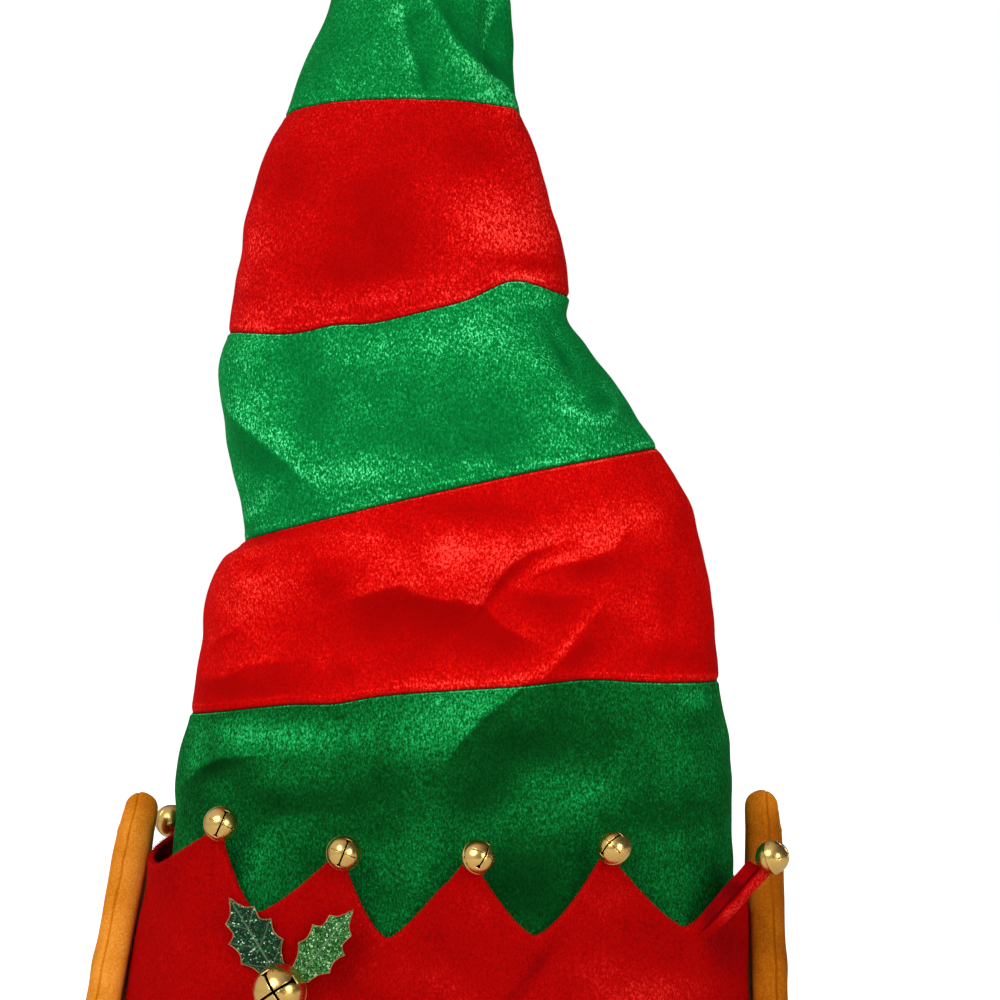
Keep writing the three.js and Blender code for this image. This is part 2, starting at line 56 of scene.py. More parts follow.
# Cuff
CUFF_HEIGHT = 88
POINT_HEIGHT = 30
CUFF_WALL = 2.6
CUFF_FIT = 0.3
HEM_HEIGHT = 4
FLANK_CURVE = 1.45
BEND_CURVE = 1.4

# Bells and their slits
BELL_RADIUS = 6.9
BELL_SEAT = 0.3
BELL_OUTWARD = 0.85
SLIT_REACH = math.radians(50)  # angle from the pole at which a slit ends in a hole
SLIT_HOLE = 2.0  # reach of that hole's corners, in slit widths
BELL_LIP = 0.45  # half the height of the rolled lip between the half balls
BELL_WALL = 0.5
BELL_SLITS = (0.7, 0.16)  # widths of the slit and of the one across it, which is nearly closed
HOLLY_BELL_WALL = 0.7
HOLLY_BELL_SLITS = (1.1, 1.1)
HOLLY_BELL_RADIUS = 11
HOLLY_BELL_RISE = 0.1
HOLLY_BELL_ROLL = 0.4

# Holly leaves
LEAF_LENGTH = 38
LEAF_WIDTH = 21
LEAF_THICKNESS = 1
LEAF_LIFT = 4
LEAF_CUP = 0.8
LEAF_CURL = 0.6
VEIN_WIDTH = 0.22
SIDE_VEIN_WIDTH = 0.18
SPRIG_SEAT = 0.3
SPRIG_SIDE = -0.41
SPRIG_UP = 0.735

# Ears
EAR_HEIGHT = 133
EAR_DEPTH = 64
EAR_THICKNESS = 14
EAR_SEAT = 0.3
EAR_CLEAR_OF_GROUND = 8
EAR_FRONT = 0.22
EAR_SEAM = 0.68  # share of the thickness at which the two faces are sewn together
EAR_EDGE = 5  # rounding of the stuffed edge
EAR_TIP_EDGE = 3  # and what the tip adds to it
EAR_DOME = 1.6

# Sections of the crown: sides in shares of the half width, heights from 0 at the hem to 1 at the
# cuff's tips and 2 at the tip of the hat, the rest in shares of the half depth.
SECTIONS = np.array([
    # left, leftUp, right, rightUp, depth, lean, tilt, bow, sway
    [-0.990, 0.000, 0.990, 0.000, 0.99, 0.00, 0.00, 0.00, 0.00],
    [-0.905, 0.500, 0.965, 0.500, 0.97, 0.00, 0.00, 0.00, 0.00],
    [-0.787, 1.002, 0.950, 1.011, 0.95, 0.00, 0.00, 0.00, 0.00],
    [-0.781, 1.069, 0.947, 1.073, 0.96, 0.00, 0.00, 0.02, 0.00],
    [-0.734, 1.120, 0.916, 1.149, 0.94, 0.00, 0.00, 0.09, 0.00],
    [-0.697, 1.185, 0.900, 1.194, 0.96, 0.00, 0.00, 0.05, 0.00],
    [-0.687, 1.230, 0.869, 1.247, 0.99, 0.00, 0.00, 0.04, 0.00],
    [-0.641, 1.258, 0.831, 1.301, 0.94, 0.00, 0.00, 0.04, 0.00],
    [-0.581, 1.273, 0.725, 1.356, 0.86, 0.00, 0.00, 0.04, 0.00],
    [-0.613, 1.341, 0.619, 1.399, 0.84, 0.01, 0.00, 0.02, 0.00],
    [-0.653, 1.417, 0.492, 1.449, 0.80, 0.02, 0.00, 0.00, 0.02],
    [-0.641, 1.444, 0.438, 1.474, 0.77, 0.02, 0.00, -0.03, 0.05],
    [-0.622, 1.459, 0.446, 1.492, 0.75, 0.02, 0.00, -0.06, 0.06],
    [-0.591, 1.525, 0.423, 1.543, 0.74, 0.03, 0.01, -0.02, 0.02],
    [-0.553, 1.581, 0.379, 1.578, 0.71, 0.05, 0.03, 0.00, 0.00],
    [-0.488, 1.630, 0.323, 1.632, 0.65, 0.09, 0.06, 0.01, 0.00],
    [-0.441, 1.652, 0.292, 1.652, 0.61, 0.12, 0.08, 0.02, 0.00],
    [-0.397, 1.687, 0.273, 1.690, 0.57, 0.19, 0.12, 0.00, 0.00],
    [-0.319, 1.744, 0.256, 1.748, 0.51, 0.34, 0.16, 0.00, 0.00],
    [-0.257, 1.830, 0.226, 1.839, 0.42, 0.64, 0.17, 0.00, 0.00],
    [-0.160, 1.909, 0.164, 1.915, 0.29, 0.97, 0.14, 0.00, 0.00],
    [-0.079, 1.967, 0.099, 1.970, 0.16, 1.24, 0.08, 0.00, 0.00],
    [0.014, 2.000, 0.014, 2.000, 0.00, 1.40, 0.00, 0.00, 0.00],
])

# Main folds of the front, as in the solids: a line and its width and rise, in the same shares.
FOLDS = [
    # fromSide, fromUp, toSide, toUp, width, rise
    [0.242, 1.111, 0.287, 1.007, 0.40, -0.05],
    [-0.378, 1.098, -0.197, 1.007, 0.34, 0.04],
    [-0.574, 1.256, -0.325, 1.268, 0.20, 0.06],
    [-0.240, 1.198, 0.060, 1.196, 0.42, -0.09],
    [-0.378, 1.250, 0.140, 1.232, 0.17, 0.05],
    [0.172, 1.215, 0.362, 1.268, 0.16, -0.07],
    [0.372, 1.240, 0.590, 1.262, 0.20, -0.05],
    [-0.563, 1.384, -0.184, 1.341, 0.20, 0.06],
    [0.339, 1.422, 0.530, 1.389, 0.20, 0.06],
    [-0.381, 1.415, -0.320, 1.360, 0.28, -0.06],
    [-0.200, 1.600, -0.060, 1.530, 0.42, -0.07],
    [0.042, 1.740, 0.130, 1.697, 0.12, 0.08],
    [0.130, 1.697, 0.250, 1.662, 0.12, 0.07],
    [0.217, 1.800, 0.198, 1.705, 0.10, -0.12],
    [-0.040, 1.735, 0.012, 1.665, 0.12, -0.06],
]

# Finer creases of the cloth in millimetres, on the front or back, with the painted light and shade that changes
# across them. A value above 0 paints light on the left of the crease as it is walked and shade on its right.
CREASES = [
    # face (1 front, -1 back), width, rise, shade step, places (side, up)
    # first stripe
    [1, 6.0, 1.3, 0.7, [(-98, 147), (-92, 153), (-83, 157), (-73, 158)]],
    [1, 8.0, 0.8, 0.7, [(15, 165), (24, 175), (32, 181), (37, 185)]],
    [1, 2.0, -0.9, 0.3, [(110, 140), (121, 138)]],
    # second stripe: the edge of the wide hollow, and the sharp creases that climb to its right
    [1, 5.0, 1.7, 1.0, [(-25, 224), (-18, 226), (-9, 228), (-5, 225), (6, 222), (13, 222), (24, 219), (30, 212),
                        (38, 208)]],
    [1, 2.5, -1.4, 0.0, [(-71, 237), (-62, 239), (-52, 241)]],
    [1, 2.5, -1.2, 0.0, [(-30, 227), (-23, 230)]],
    [1, 6.0, 1.0, 0.7, [(-93, 188), (-82, 190), (-72, 195), (-64, 196)]],
    [1, 3.0, 0.6, 0.5, [(-89, 202), (-84, 206), (-79, 209)]],
    [1, 4.0, 1.6, 1.1, [(23, 220), (28, 228), (35, 236), (44, 242), (51, 244)]],
    [1, 3.0, -2.0, 0.0, [(26, 220), (30, 224), (38, 231), (46, 236), (53, 239)]],
    [1, 4.0, 1.4, 0.9, [(47, 233), (53, 236), (68, 239), (77, 243), (79, 246)]],
    [1, 3.0, 1.3, 0.9, [(50, 193), (57, 201), (62, 209), (68, 216)]],
    [1, 4.0, 0.7, 0.5, [(37, 227), (44, 224), (62, 224)]],
    # third stripe: the slumped ridges at both sides
    [1, 5.0, 1.6, 0.9, [(-75, 295), (-69, 290), (-63, 284), (-57, 279), (-52, 274)]],
    [1, 2.5, -1.4, 0.0, [(47, 341), (52, 334), (55, 325), (60, 315)]],
    [1, 4.0, 1.7, 0.0, [(39, 322), (48, 316), (54, 308), (55, 299), (64, 295), (72, 295), (77, 301)]],
    [1, 1.6, -0.9, 0.0, [(27, 280), (35, 275)]],
    # fifth stripe: the bend's creases
    [1, 4.0, 1.8, -0.9, [(3, 467), (7, 459), (11, 452), (17, 443), (28, 436), (34, 430), (36, 425)]],
    [1, 3.0, -1.8, 0.0, [(9, 464), (13, 455), (20, 446), (32, 437), (37, 429)]],
    [1, 3.5, 1.3, -0.7, [(-9, 461), (-8, 453), (-4, 442), (-2, 434)]],
    [1, 3.5, 1.5, -0.7, [(31, 468), (28, 457), (26, 448)]],
    [1, 3.0, -1.6, 0.0, [(34, 467), (32, 456), (30, 448)]],
    # plain slumps on the back
    [-1, 6.0, -2.0, 0.4, [(-70, 236), (-10, 222)]],
    [-1, 6.0, 1.6, 0.0, [(-60, 246), (5, 231)]],
    [-1, 6.0, -2.2, -0.4, [(20, 214), (80, 240)]],
    [-1, 5.0, 1.6, 0.0, [(25, 224), (84, 250)]],
    [-1, 6.0, 1.8, 0.4, [(-66, 300), (0, 284)]],
    [-1, 6.0, -1.6, 0.0, [(-60, 290), (4, 275)]],
    [-1, 6.0, 1.5, 0.3, [(20, 300), (66, 318)]],
    [-1, 7.0, -1.6, 0.0, [(-40, 372), (20, 356)]],
    [-1, 5.0, 1.6, 0.4, [(-22, 452), (18, 442)]],
    [-1, 4.0, -1.6, 0.0, [(-22, 444), (18, 434)]],
]

# Painted light and shade on the front: painted highlights on the folds, painted shade in hollows and under folds,
# with the pile's own brushed patches among them.
PILE_AND_SHADE_PATCHES = [
    # side, up, half width, half height, turn in degrees, tone from -1 dark to 1 bright
    # first stripe
    [-58, 167, 37, 6.2, -3, 1.0],
    [-95, 161, 5, 15, 0, 0.6],
    [-86, 154, 15, 3.5, 20, -0.7],
    [-54, 154, 12, 7.7, 0, 0.3],
    [-57, 140, 18, 5.4, 0, -0.7],
    [-22, 141, 19, 20, 0, -0.9],
    [-67, 120, 10, 8.5, 0, 0.3],
    [-6, 167, 12, 12, 0, 0.4],
    [14, 176, 15, 10, 0, 0.7],
    [23, 172, 12, 2.4, 42, -0.5],
    [39, 164, 23, 12, 20, -1.0],
    [60, 143, 15, 9.7, -10, 0.5],
    [73, 168, 12, 10, 0, -0.2],
    [110, 181, 10, 4.1, 0, 0.6],
    [111, 172, 7.3, 4.9, 0, -0.5],
    [96, 135, 27, 8.1, 5, -0.7],
    [98, 113, 8.1, 4.9, 0, 0.2],
    [41, 115, 20, 12, 0, -0.7],
    [45, 99, 12, 9.7, 0, -1.0],
    [22, 142, 15, 8.9, 0, -0.8],
    # second stripe
    [-66, 227, 21, 12, 0, 0.9],
    [-65, 243, 16, 2.9, 12, 0.6],
    [-63, 248, 7.9, 2.9, 15, -0.8],
    [-68, 235, 4.3, 3.6, 0, -0.8],
    [-30, 247, 16, 3.2, -3, 0.7],
    [-37, 241, 14, 2.5, 5, 0.6],
    [-5, 248, 11, 6.5, 0, -0.6],
    [8, 242, 8.6, 6.5, 0, 0.6],
    [-15, 238, 11, 5.7, 0, 0.3],
    [-40, 230, 8.6, 7.9, 0, -0.7],
    [-8, 213, 25, 12, 0, -1.2],
    [-43, 197, 4.3, 4.3, 0, 0.5],
    [-32, 192, 5, 3.6, 0, -0.6],
    [-72, 186, 24, 6.5, 5, -0.9],
    [-81, 206, 4.3, 2.2, 30, -0.7],
    [-5, 197, 21, 5.7, 0, -0.3],
    [-11, 189, 18, 2.2, 0, 0.3],
    [24, 258, 25, 5.3, -2, -0.8],
    [21, 242, 25, 9.8, -2, 0.9],
    [68, 250, 23, 8.3, 15, 0.8],
    [89, 256, 11, 6.1, 10, 0.5],
    [35, 233, 12, 3.8, 38, -1.0],
    [70, 235, 17, 4.5, 10, -1.0],
    [56, 238, 8.3, 2.3, 12, 0.7],
    [41, 228, 17, 2.7, 12, 0.5],
    [53, 219, 15, 6.8, 5, -0.7],
    [78, 220, 13, 5.3, -10, 0.5],
    [60, 206, 14, 1.9, 50, 0.8],
    [64, 201, 9.1, 4.5, 50, -0.8],
    [101, 199, 20, 6.8, 0, -0.9],
    [100, 225, 4.5, 9.8, 0, -0.6],
    [105, 247, 5.3, 11, 0, -0.3],
    [93, 209, 4.5, 3, 0, 0.4],
    [21, 211, 19, 6.8, -15, -1.1],
    [24, 200, 23, 5.3, 0, -0.5],
    [41, 192, 9.8, 1.9, 8, 0.5],
    # third stripe
    [-15, 323, 23, 9, 0, 0.6],
    [-53, 322, 7.6, 7.6, 0, -0.5],
    [-45, 299, 8.3, 14, 0, -0.6],
    [-57, 287, 7.6, 4.1, -38, 0.9],
    [-65, 298, 8.3, 6.9, 0, 0.2],
    [-68, 280, 12, 6.2, -40, -0.9],
    [-65, 264, 6.2, 2.8, 60, 0.7],
    [-72, 257, 3.5, 1.7, 50, 0.5],
    [-72, 251, 5.5, 4.1, 0, -0.6],
    [-21, 274, 29, 4.8, 2, 0.5],
    [-15, 288, 28, 7.6, 0, -0.5],
    [17, 331, 20, 10, 0, 0.7],
    [39, 337, 5.7, 3.2, 20, -0.5],
    [49, 344, 5.1, 3.8, 0, 0.5],
    [56, 321, 7.7, 2.6, -65, -0.8],
    [45, 318, 8.3, 3.8, -25, 0.5],
    [54, 306, 3.8, 5.7, 0, 0.5],
    [58, 298, 8.3, 2.2, -25, 0.9],
    [68, 295, 5.7, 1.6, 0, 0.7],
    [76, 300, 3.8, 1.6, 40, 0.6],
    [70, 304, 4.5, 3.8, 0, -0.8],
    [76, 308, 8.3, 3.2, -55, 0.5],
    [30, 296, 21, 11, 0, -0.7],
    [24, 285, 19, 5.1, 0, -0.4],
    [20, 277, 7, 1.6, 0, 0.6],
    [32, 278, 3.8, 1.3, -30, -0.8],
    # fourth stripe
    [-55, 394, 10, 10, 0, -0.8],
    [-21, 380, 20, 31, -10, -1.0],
    [18, 403, 12, 10, 0, -0.8],
    [-34, 356, 14, 5.6, 0, -0.5],
    [25, 375, 20, 14, -25, 1.0],
    [43, 369, 15, 19, 0, 0.6],
    [40, 360, 13, 3.3, -5, -0.9],
    [43, 354, 14, 2.3, 0, 0.7],
    [-25, 345, 45, 6.5, 8, 0.8],
    [-73, 346, 6.5, 3.7, 0, -0.5],
    [43, 403, 9.3, 17, 0, 0.3],
    [-71, 371, 9.3, 19, 0, 0.3],
    # fifth stripe
    [-12, 464, 6, 4, 0, 0.8],
    [-4, 462, 5.3, 2, 25, -0.8],
    [-7, 444, 2.3, 8.6, -12, 0.6],
    [-1, 437, 3, 8.6, -15, -0.7],
    [18, 438, 11, 3.7, -45, 0.7],
    [23, 429, 4.7, 2.7, 0, 0.8],
    [-4, 427, 6, 2, 0, 0.6],
    [30, 442, 4.7, 4.7, 0, -0.7],
    [33, 458, 2.7, 10, 0, -0.6],
    [28, 458, 1.7, 10, -12, 0.5],
    [15, 461, 4, 5.3, 0, -0.3],
    [39, 431, 4, 8, 0, -0.7],
]

# The same for the front of the cuff: painted light and shade, with a painted shadow under the folded point.
CUFF_PILE_AND_SHADE_PATCHES = [
    [92, 60, 26, 16, 0, 0.8],
    [42, 70, 24, 3.5, 52, -0.9],
    # painted shadow under the folded point
    [124, 78, 9, 16, 0, -1.1],
    [20, 100, 10, 8, 0, 0.3],
    [72, 100, 10, 9, 0, 0.3],
]

# Places where a seam sits higher or lower than its row of the section table.
SEAM_WAVES = [
    # row, side, width, rise
    [12, 37, 14, 6.5],
    [12, -38, 12, 2.5],
    [4, 66, 20, 2.0],
    [4, -37, 12, -1.5],
]

# Points of the cuff, from the front towards the right, as in the solids.
POINTS = [
    # valleyTurn, valleyUp, tipTurn, tipUp, lean, shift, bellSide, bellRise, faceSide, faceRise, slitTurn
    [-74.4, 0.82, -46.3, 1.39, 0.14, 0.00, 0.83, 0.38, 0.52, 0.09, 70],
    [-33.8, 0.26, -17.2, 1.13, 0.14, 0.00, 0.40, -0.07, 0.16, 0.08, 70],
    [-7.5, -0.06, 2.7, 1.07, 0.14, 0.00, 0.48, -0.03, 0.56, 0.28, 88],
    [14.5, -0.03, 27.5, 1.12, 0.14, 0.00, 0.15, 0.17, -0.59, 0.51, 32],
    [49.0, 0.03, 68.3, 0.87, 0.76, -0.22, -0.17, 0.60, 0.35, 0.31, -10],
    [84.0, 0.20, 122.0, 0.98, 0.00, 0.00, 0.00, 0.50, 0.20, 0.20, 50],
    [137.0, 0.05, 148.0, 0.96, 0.16, 0.00, 0.20, 0.50, -0.30, 0.10, 80],
    [159.0, 0.00, 170.0, 0.98, 0.14, 0.00, -0.20, 0.50, 0.40, 0.30, 20],
    [181.0, 0.05, 192.0, 0.95, 0.14, 0.00, 0.20, 0.50, 0.00, -0.10, 60],
    [203.0, 0.00, 216.0, 1.00, 0.16, 0.00, 0.00, 0.50, -0.20, 0.40, 100],
    [230.0, 0.10, 248.0, 1.16, 0.00, 0.00, -0.30, 0.50, -0.10, 0.20, 40],
]
FOLDED_POINT = 4  # the row of the point that folds out over the right ear
STRIP_START = (106.5, -34.5, 79.0)  # middle of the folded point's doubled edge, at the valley
STRIP_END = (135.2, -45.5, 114.0)  # and at the bell
STRIP_HALF_WIDTH = 7.0
STRIP_THICK = 2.2
STRIP_BOW = -0.6
STRIP_FACING = (0.5, -0.866, 0)
STRIP_GROOVE = 1.3
STRIP_TUCK = 1.6  # how deep its lower end goes into the valley
CUFF_LEFT = (-1.000, -0.845)  # shares of the half width at the rim and at the tips
CUFF_RIGHT = (1.000, 0.974)

EAR_OUTLINE = [
    # depth, up
    [0.34, 0.00], [0.14, 0.09], [0.03, 0.25], [0.00, 0.42], [0.06, 0.60], [0.16, 0.75],
    [0.25, 0.88], [0.31, 0.97], [0.345, 1.00], [0.39, 0.97], [0.48, 0.88], [0.64, 0.76],
    [0.82, 0.64], [0.95, 0.51], [1.00, 0.38], [0.95, 0.23], [0.81, 0.10], [0.58, 0.01],
]
EAR_SPINE = [[0.46, 0.17], [0.37, 0.87]]

LEAF_OUTLINE = [
    # along, side
    [0.00, 0.25], [0.07, 0.50], [0.16, 0.60], [0.28, 0.98], [0.41, 0.82],
    [0.53, 1.00], [0.63, 0.62], [0.75, 0.68], [0.86, 0.26], [0.94, 0.11],
]
LEAF_SPINES = (1, 3, 5, 7)  # rows of the outline where a spine stands out

rim_half_width = RIM_WIDTH / 2
rim_half_depth = RIM_DEPTH / 2
crown_half_width = rim_half_width - CUFF_WALL - CUFF_FIT
crown_half_depth = rim_half_depth - CUFF_WALL - CUFF_FIT
crown_foot = HEM_HEIGHT + CUFF_FIT
cuff_top = CUFF_HEIGHT + POINT_HEIGHT


def mix(a, b, share):
    return a + (b - a) * share


def smooth(value, low, high):
    share = np.clip((value - low) / (high - low), 0, 1)
    return share * share * (3 - 2 * share)


def rounded(value):
    return np.sign(value) * np.abs(value) ** (2 / SECTION_POWER)


def height_at(up):
    return np.where(up <= 1, mix(crown_foot, cuff_top, up), mix(cuff_top, CROWN_HEIGHT, up - 1))


def through(points, share):
    """The centripetal Catmull-Rom curve through the points, at each share of its rows."""
    last = len(points) - 1
    place = np.clip(share, 0, 1) * last
    row = np.minimum(place.astype(int), last - 1)
    t = (place - row)[:, None]
    p1, p2 = points[row], points[row + 1]
    before = np.where((row > 0)[:, None], points[np.maximum(row - 1, 0)], 2 * points[0] - points[1])
    after = np.where((row + 2 <= last)[:, None], points[np.minimum(row + 2, last)],
                     2 * points[-1] - points[-2])
    gaps = [np.maximum(((b - a) ** 2).sum(1) ** 0.25, 1e-4)[:, None]
            for a, b in ((before, p1), (p1, p2), (p2, after))]
    slope1 = ((p1 - before) / gaps[0] - (p2 - before) / (gaps[0] + gaps[1]) + (p2 - p1) / gaps[1]) * gaps[1]
    slope2 = ((p2 - p1) / gaps[1] - (after - p1) / (gaps[1] + gaps[2]) + (after - p2) / gaps[2]) * gaps[1]
    return (p1 + slope1 * t + (-3 * p1 + 3 * p2 - 2 * slope1 - slope2) * t ** 2
            + (2 * p1 - 2 * p2 + slope1 + slope2) * t ** 3)


def waves(points, length, count, seed):
    """Soft, even unevenness of that wave length over points, from about -1 to 1."""
    turn = np.random.default_rng(seed)
    total = np.zeros(points.shape[:-1])
    for _ in range(count):
        way = turn.normal(size=3)
        way /= np.linalg.norm(way)
        pace = 2 * math.pi / (length * turn.uniform(0.7, 1.4))
        total += np.sin(points @ way * pace + turn.uniform(0, 2 * math.pi))
    return total / math.sqrt(count)


def line_distance(side, up, row):
    """Distance from the line between (row[0], row[1]) and (row[2], row[3])."""
    start, run = np.array(row[:2]), np.array(row[2:4]) - np.array(row[:2])
    along = np.clip(((side - start[0]) * run[0] + (up - start[1]) * run[1]) / (run @ run), 0, 1)
    return np.hypot(side - start[0] - along * run[0], up - start[1] - along * run[1])


# Crown

def edge_of_rows(side, up):
    """One edge of the crown's front view, as a row of places."""
    return np.stack([side * crown_half_width, 0 * side, height_at(up)], 1)


left_edge = edge_of_rows(SECTIONS[:, 0], SECTIONS[:, 1])
right_edge = edge_of_rows(SECTIONS[:, 2], SECTIONS[:, 3])
depths = SECTIONS[:, 4:7] * crown_half_depth
bends = SECTIONS[:, 7:9] * crown_half_depth

SLACK = [
    # rise, wave length, waves, seed of the cloth's unevenness
    [0.9, 52, 9, 3],
    [0.35, 21, 9, 4],
]


def crease_distance(side, up, places):
    """Distance from a crease, above 0 on its left as it is walked and below 0 on its right."""
    signed = np.full(side.shape, np.inf)
    for (x0, z0), (x1, z1) in zip(places[:-1], places[1:]):
        away = line_distance(side, up, (x0, z0, x1, z1))
        is_left = (x1 - x0) * (up - z0) > (z1 - z0) * (side - x0)
        signed = np.where(away < np.abs(signed), np.where(is_left, away, -away), signed)
    return signed


def folds_and_creases(side, up, to_back):
    """How far the cloth stands out at its folds, and the painted light and shade that changes across the creases."""
    rise = np.zeros_like(side)
    tone = np.zeros_like(side)
    for from_side, from_up, to_side, to_up, width, height in FOLDS:
        line = [from_side * crown_half_width, float(height_at(from_up)),
                to_side * crown_half_width, float(height_at(to_up))]
        away = line_distance(side, up, line) / (width * crown_half_depth)
        rise += height * crown_half_depth * np.exp(-away ** 2)
    rise *= smooth(-to_back, FOLDS_START, FOLDS_FULL)
    for face, width, height, shade_step, places in CREASES:
        away = crease_distance(side, up, places)
        here = smooth(-face * to_back, FOLDS_START, FOLDS_FULL)
        rise += height * np.exp(1 - np.sqrt(1 + (away / width) ** 2)) * here
        tone += shade_step * np.tanh(away / 0.7) * np.exp(-np.abs(away) / (1.3 * width)) * here
    return rise, tone


def pile_and_shade_tone(side, up, to_back, table):
    """The painted light and shade at a place on the front, from that table's patches, with the pile's own brushed
    patches among them.
    """
    tone = np.zeros_like(side)
    for middle, height, half_width, half_height, turn, strength in table:
        angle = math.radians(turn)
        x, z = side - middle, up - height
        along = (x * math.cos(angle) + z * math.sin(angle)) / half_width
        over = (z * math.cos(angle) - x * math.sin(angle)) / half_height
        tone += strength * np.exp(-(along ** 2 + over ** 2))
    return tone * smooth(-to_back, -0.05, 0.25)


def seam_shift(row, side, to_back):
    """How far a seam and the cloth beside it sit above their row of the section table."""
    shift = np.zeros_like(side)
    for seam_row, middle, width, rise in SEAM_WAVES:
        shift += rise * np.exp(-((side - middle) / width) ** 2 - ((row - seam_row) / 0.9) ** 2)
    return shift * smooth(-to_back, FOLDS_START, FOLDS_FULL)


def crown_cloth(row, turn, inset):
    """Places on the crown, in millimetres, and the tone there: painted light and shade with the pile's own uneven
    tone.
    """
    shape, row, turn = row.shape, row.ravel(), turn.ravel()
    share = row / (len(SECTIONS) - 1)
    left, right = through(left_edge, share), through(right_edge, share)
    half_depth, lean, tilt = through(depths, share).T
    bow, sway = through(bends, share).T
    half_width = (right[:, 0] - left[:, 0]) / 2
    across, to_back = rounded(np.sin(turn)), -rounded(np.cos(turn))
    side = (left[:, 0] + right[:, 0]) / 2 + across * half_width
    up = (mix(left[:, 2], right[:, 2], (across + 1) / 2) - tilt * to_back
          + bow * (1 - across ** 2) + sway * np.sin(math.pi * across) * (1 - to_back) / 2
          + seam_shift(row, side, to_back))
    rise, shade_step = folds_and_creases(side, up, to_back)
    here = np.stack([side, lean + to_back * half_depth, up], 1)
    free = smooth(up, CUFF_HEIGHT - 4, cuff_top + 6) * smooth(CROWN_HEIGHT - up, 4, 40)
    rise += free * sum(slack * waves(here, *kind) for slack, *kind in SLACK)
    outward = np.stack([across * half_depth, to_back * half_width], 1)
    outward /= np.maximum(np.linalg.norm(outward, axis=1), 1e-9)[:, None]
    inset = np.broadcast_to(inset, shape).ravel()
    x = side - across * inset + outward[:, 0] * rise
    y = lean + to_back * (half_depth - inset) + outward[:, 1] * rise
    # painted light and shade from the patches and creases, and the pile's own uneven tone
    tone = pile_and_shade_tone(side, up, to_back, PILE_AND_SHADE_PATCHES) + shade_step + 0.2 * waves(here, 60, 7, 5)
    return np.stack([x, y, up], 1).reshape(shape + (3,)), tone.reshape(shape)


# Meshes

def ring_faces(rows, columns, wrap=False):
    """Faces between rows of points that close round on themselves."""
    row = np.arange(rows if wrap else rows - 1)[:, None]
    column = np.arange(columns)[None, :]
    a, b = row * columns, (row + 1) % rows * columns
    after = (column + 1) % columns
    return np.stack([a + column, a + after, b + after, b + column], -1).reshape(-1, 4).tolist()


def capped_faces(rows, columns):
    """The same, with one face over the first row and one over the last."""
    last = (rows - 1) * columns
    return ring_faces(rows, columns) + [list(range(columns))[::-1], list(range(last, last + columns))]


def put(name, data):
    thing = bpy.data.objects.new(name, data)
    bpy.context.collection.objects.link(thing)
    return thing


def make_piece(name, points, faces, nodes, finish, tones):
    """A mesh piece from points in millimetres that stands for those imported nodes."""
    mesh = bpy.data.meshes.new(name)
    mesh.from_pydata((np.asarray(points, float).reshape(-1, 3) * MM).tolist(), [], faces)
    mesh.validate()
    mesh.shade_smooth()
    for label, values in tones.items():
        mesh.attributes.new(label, "FLOAT", "POINT").data.foreach_set(
            "value", np.asarray(values, np.float32).ravel())
    mesh.materials.append(finish)
    return settle(put(name, mesh), nodes)


def settle(piece, nodes):
    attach(piece, "root")
    if nodes:
        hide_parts(*nodes)
    return piece


# Finishes

def linear(hex_colour):
    """A hex colour in sRGB as a linear colour with full alpha."""
    parts = [int(hex_colour[i:i + 2], 16) / 255 for i in (1, 3, 5)]
    return [p / 12.92 if p <= 0.04045 else ((p + 0.055) / 1.055) ** 2.4 for p in parts] + [1.0]


def add(tree, kind, settings=None, **links):
    """A shader node of that kind with its settings, and its inputs by name, or as i and their number,
    as values or other nodes' outputs."""
    node = tree.nodes.new("ShaderNode" + kind)
    for name, value in (settings or {}).items():
        setattr(node, name, value)
    for name, value in links.items():
        is_number = name[0] == "i" and name[1:].isdigit()
        socket = node.inputs[int(name[1:]) if is_number else name.replace("_", " ")]
        if isinstance(value, bpy.types.NodeSocket):
            tree.links.new(value, socket)
        else:
            socket.default_value = value
    return node


def new_finish(name):
    material = bpy.data.materials.new(name)
    material.use_nodes = True
    material.node_tree.nodes.clear()
    return material, material.node_tree


def per_mm(size):
    """Scale of a pattern whose grain is that many millimetres, on coordinates in metres."""
    return 1 / (size * MM)


def ramp(tree, value, places, shades):
    """A colour ramp from dark to light pile or grains, with a shade at each place."""
    node = add(tree, "ValToRGB", i0=value)
    elements = node.color_ramp.elements
    while len(elements) < len(shades):
        elements.new(0.5)
    for element, place, shade in zip(elements, places, shades):
        element.position = place
        element.color = linear(shade)
    return node.outputs[0]


BRUSHED_PATCH = 14  # millimetres, a patch of pile that lies one way
TUFT = 0.8
PILE_PLACES = (0.0, 0.3, 0.55, 0.8, 1.0)  # of the five shades, from pile that lies dark to pile that shines


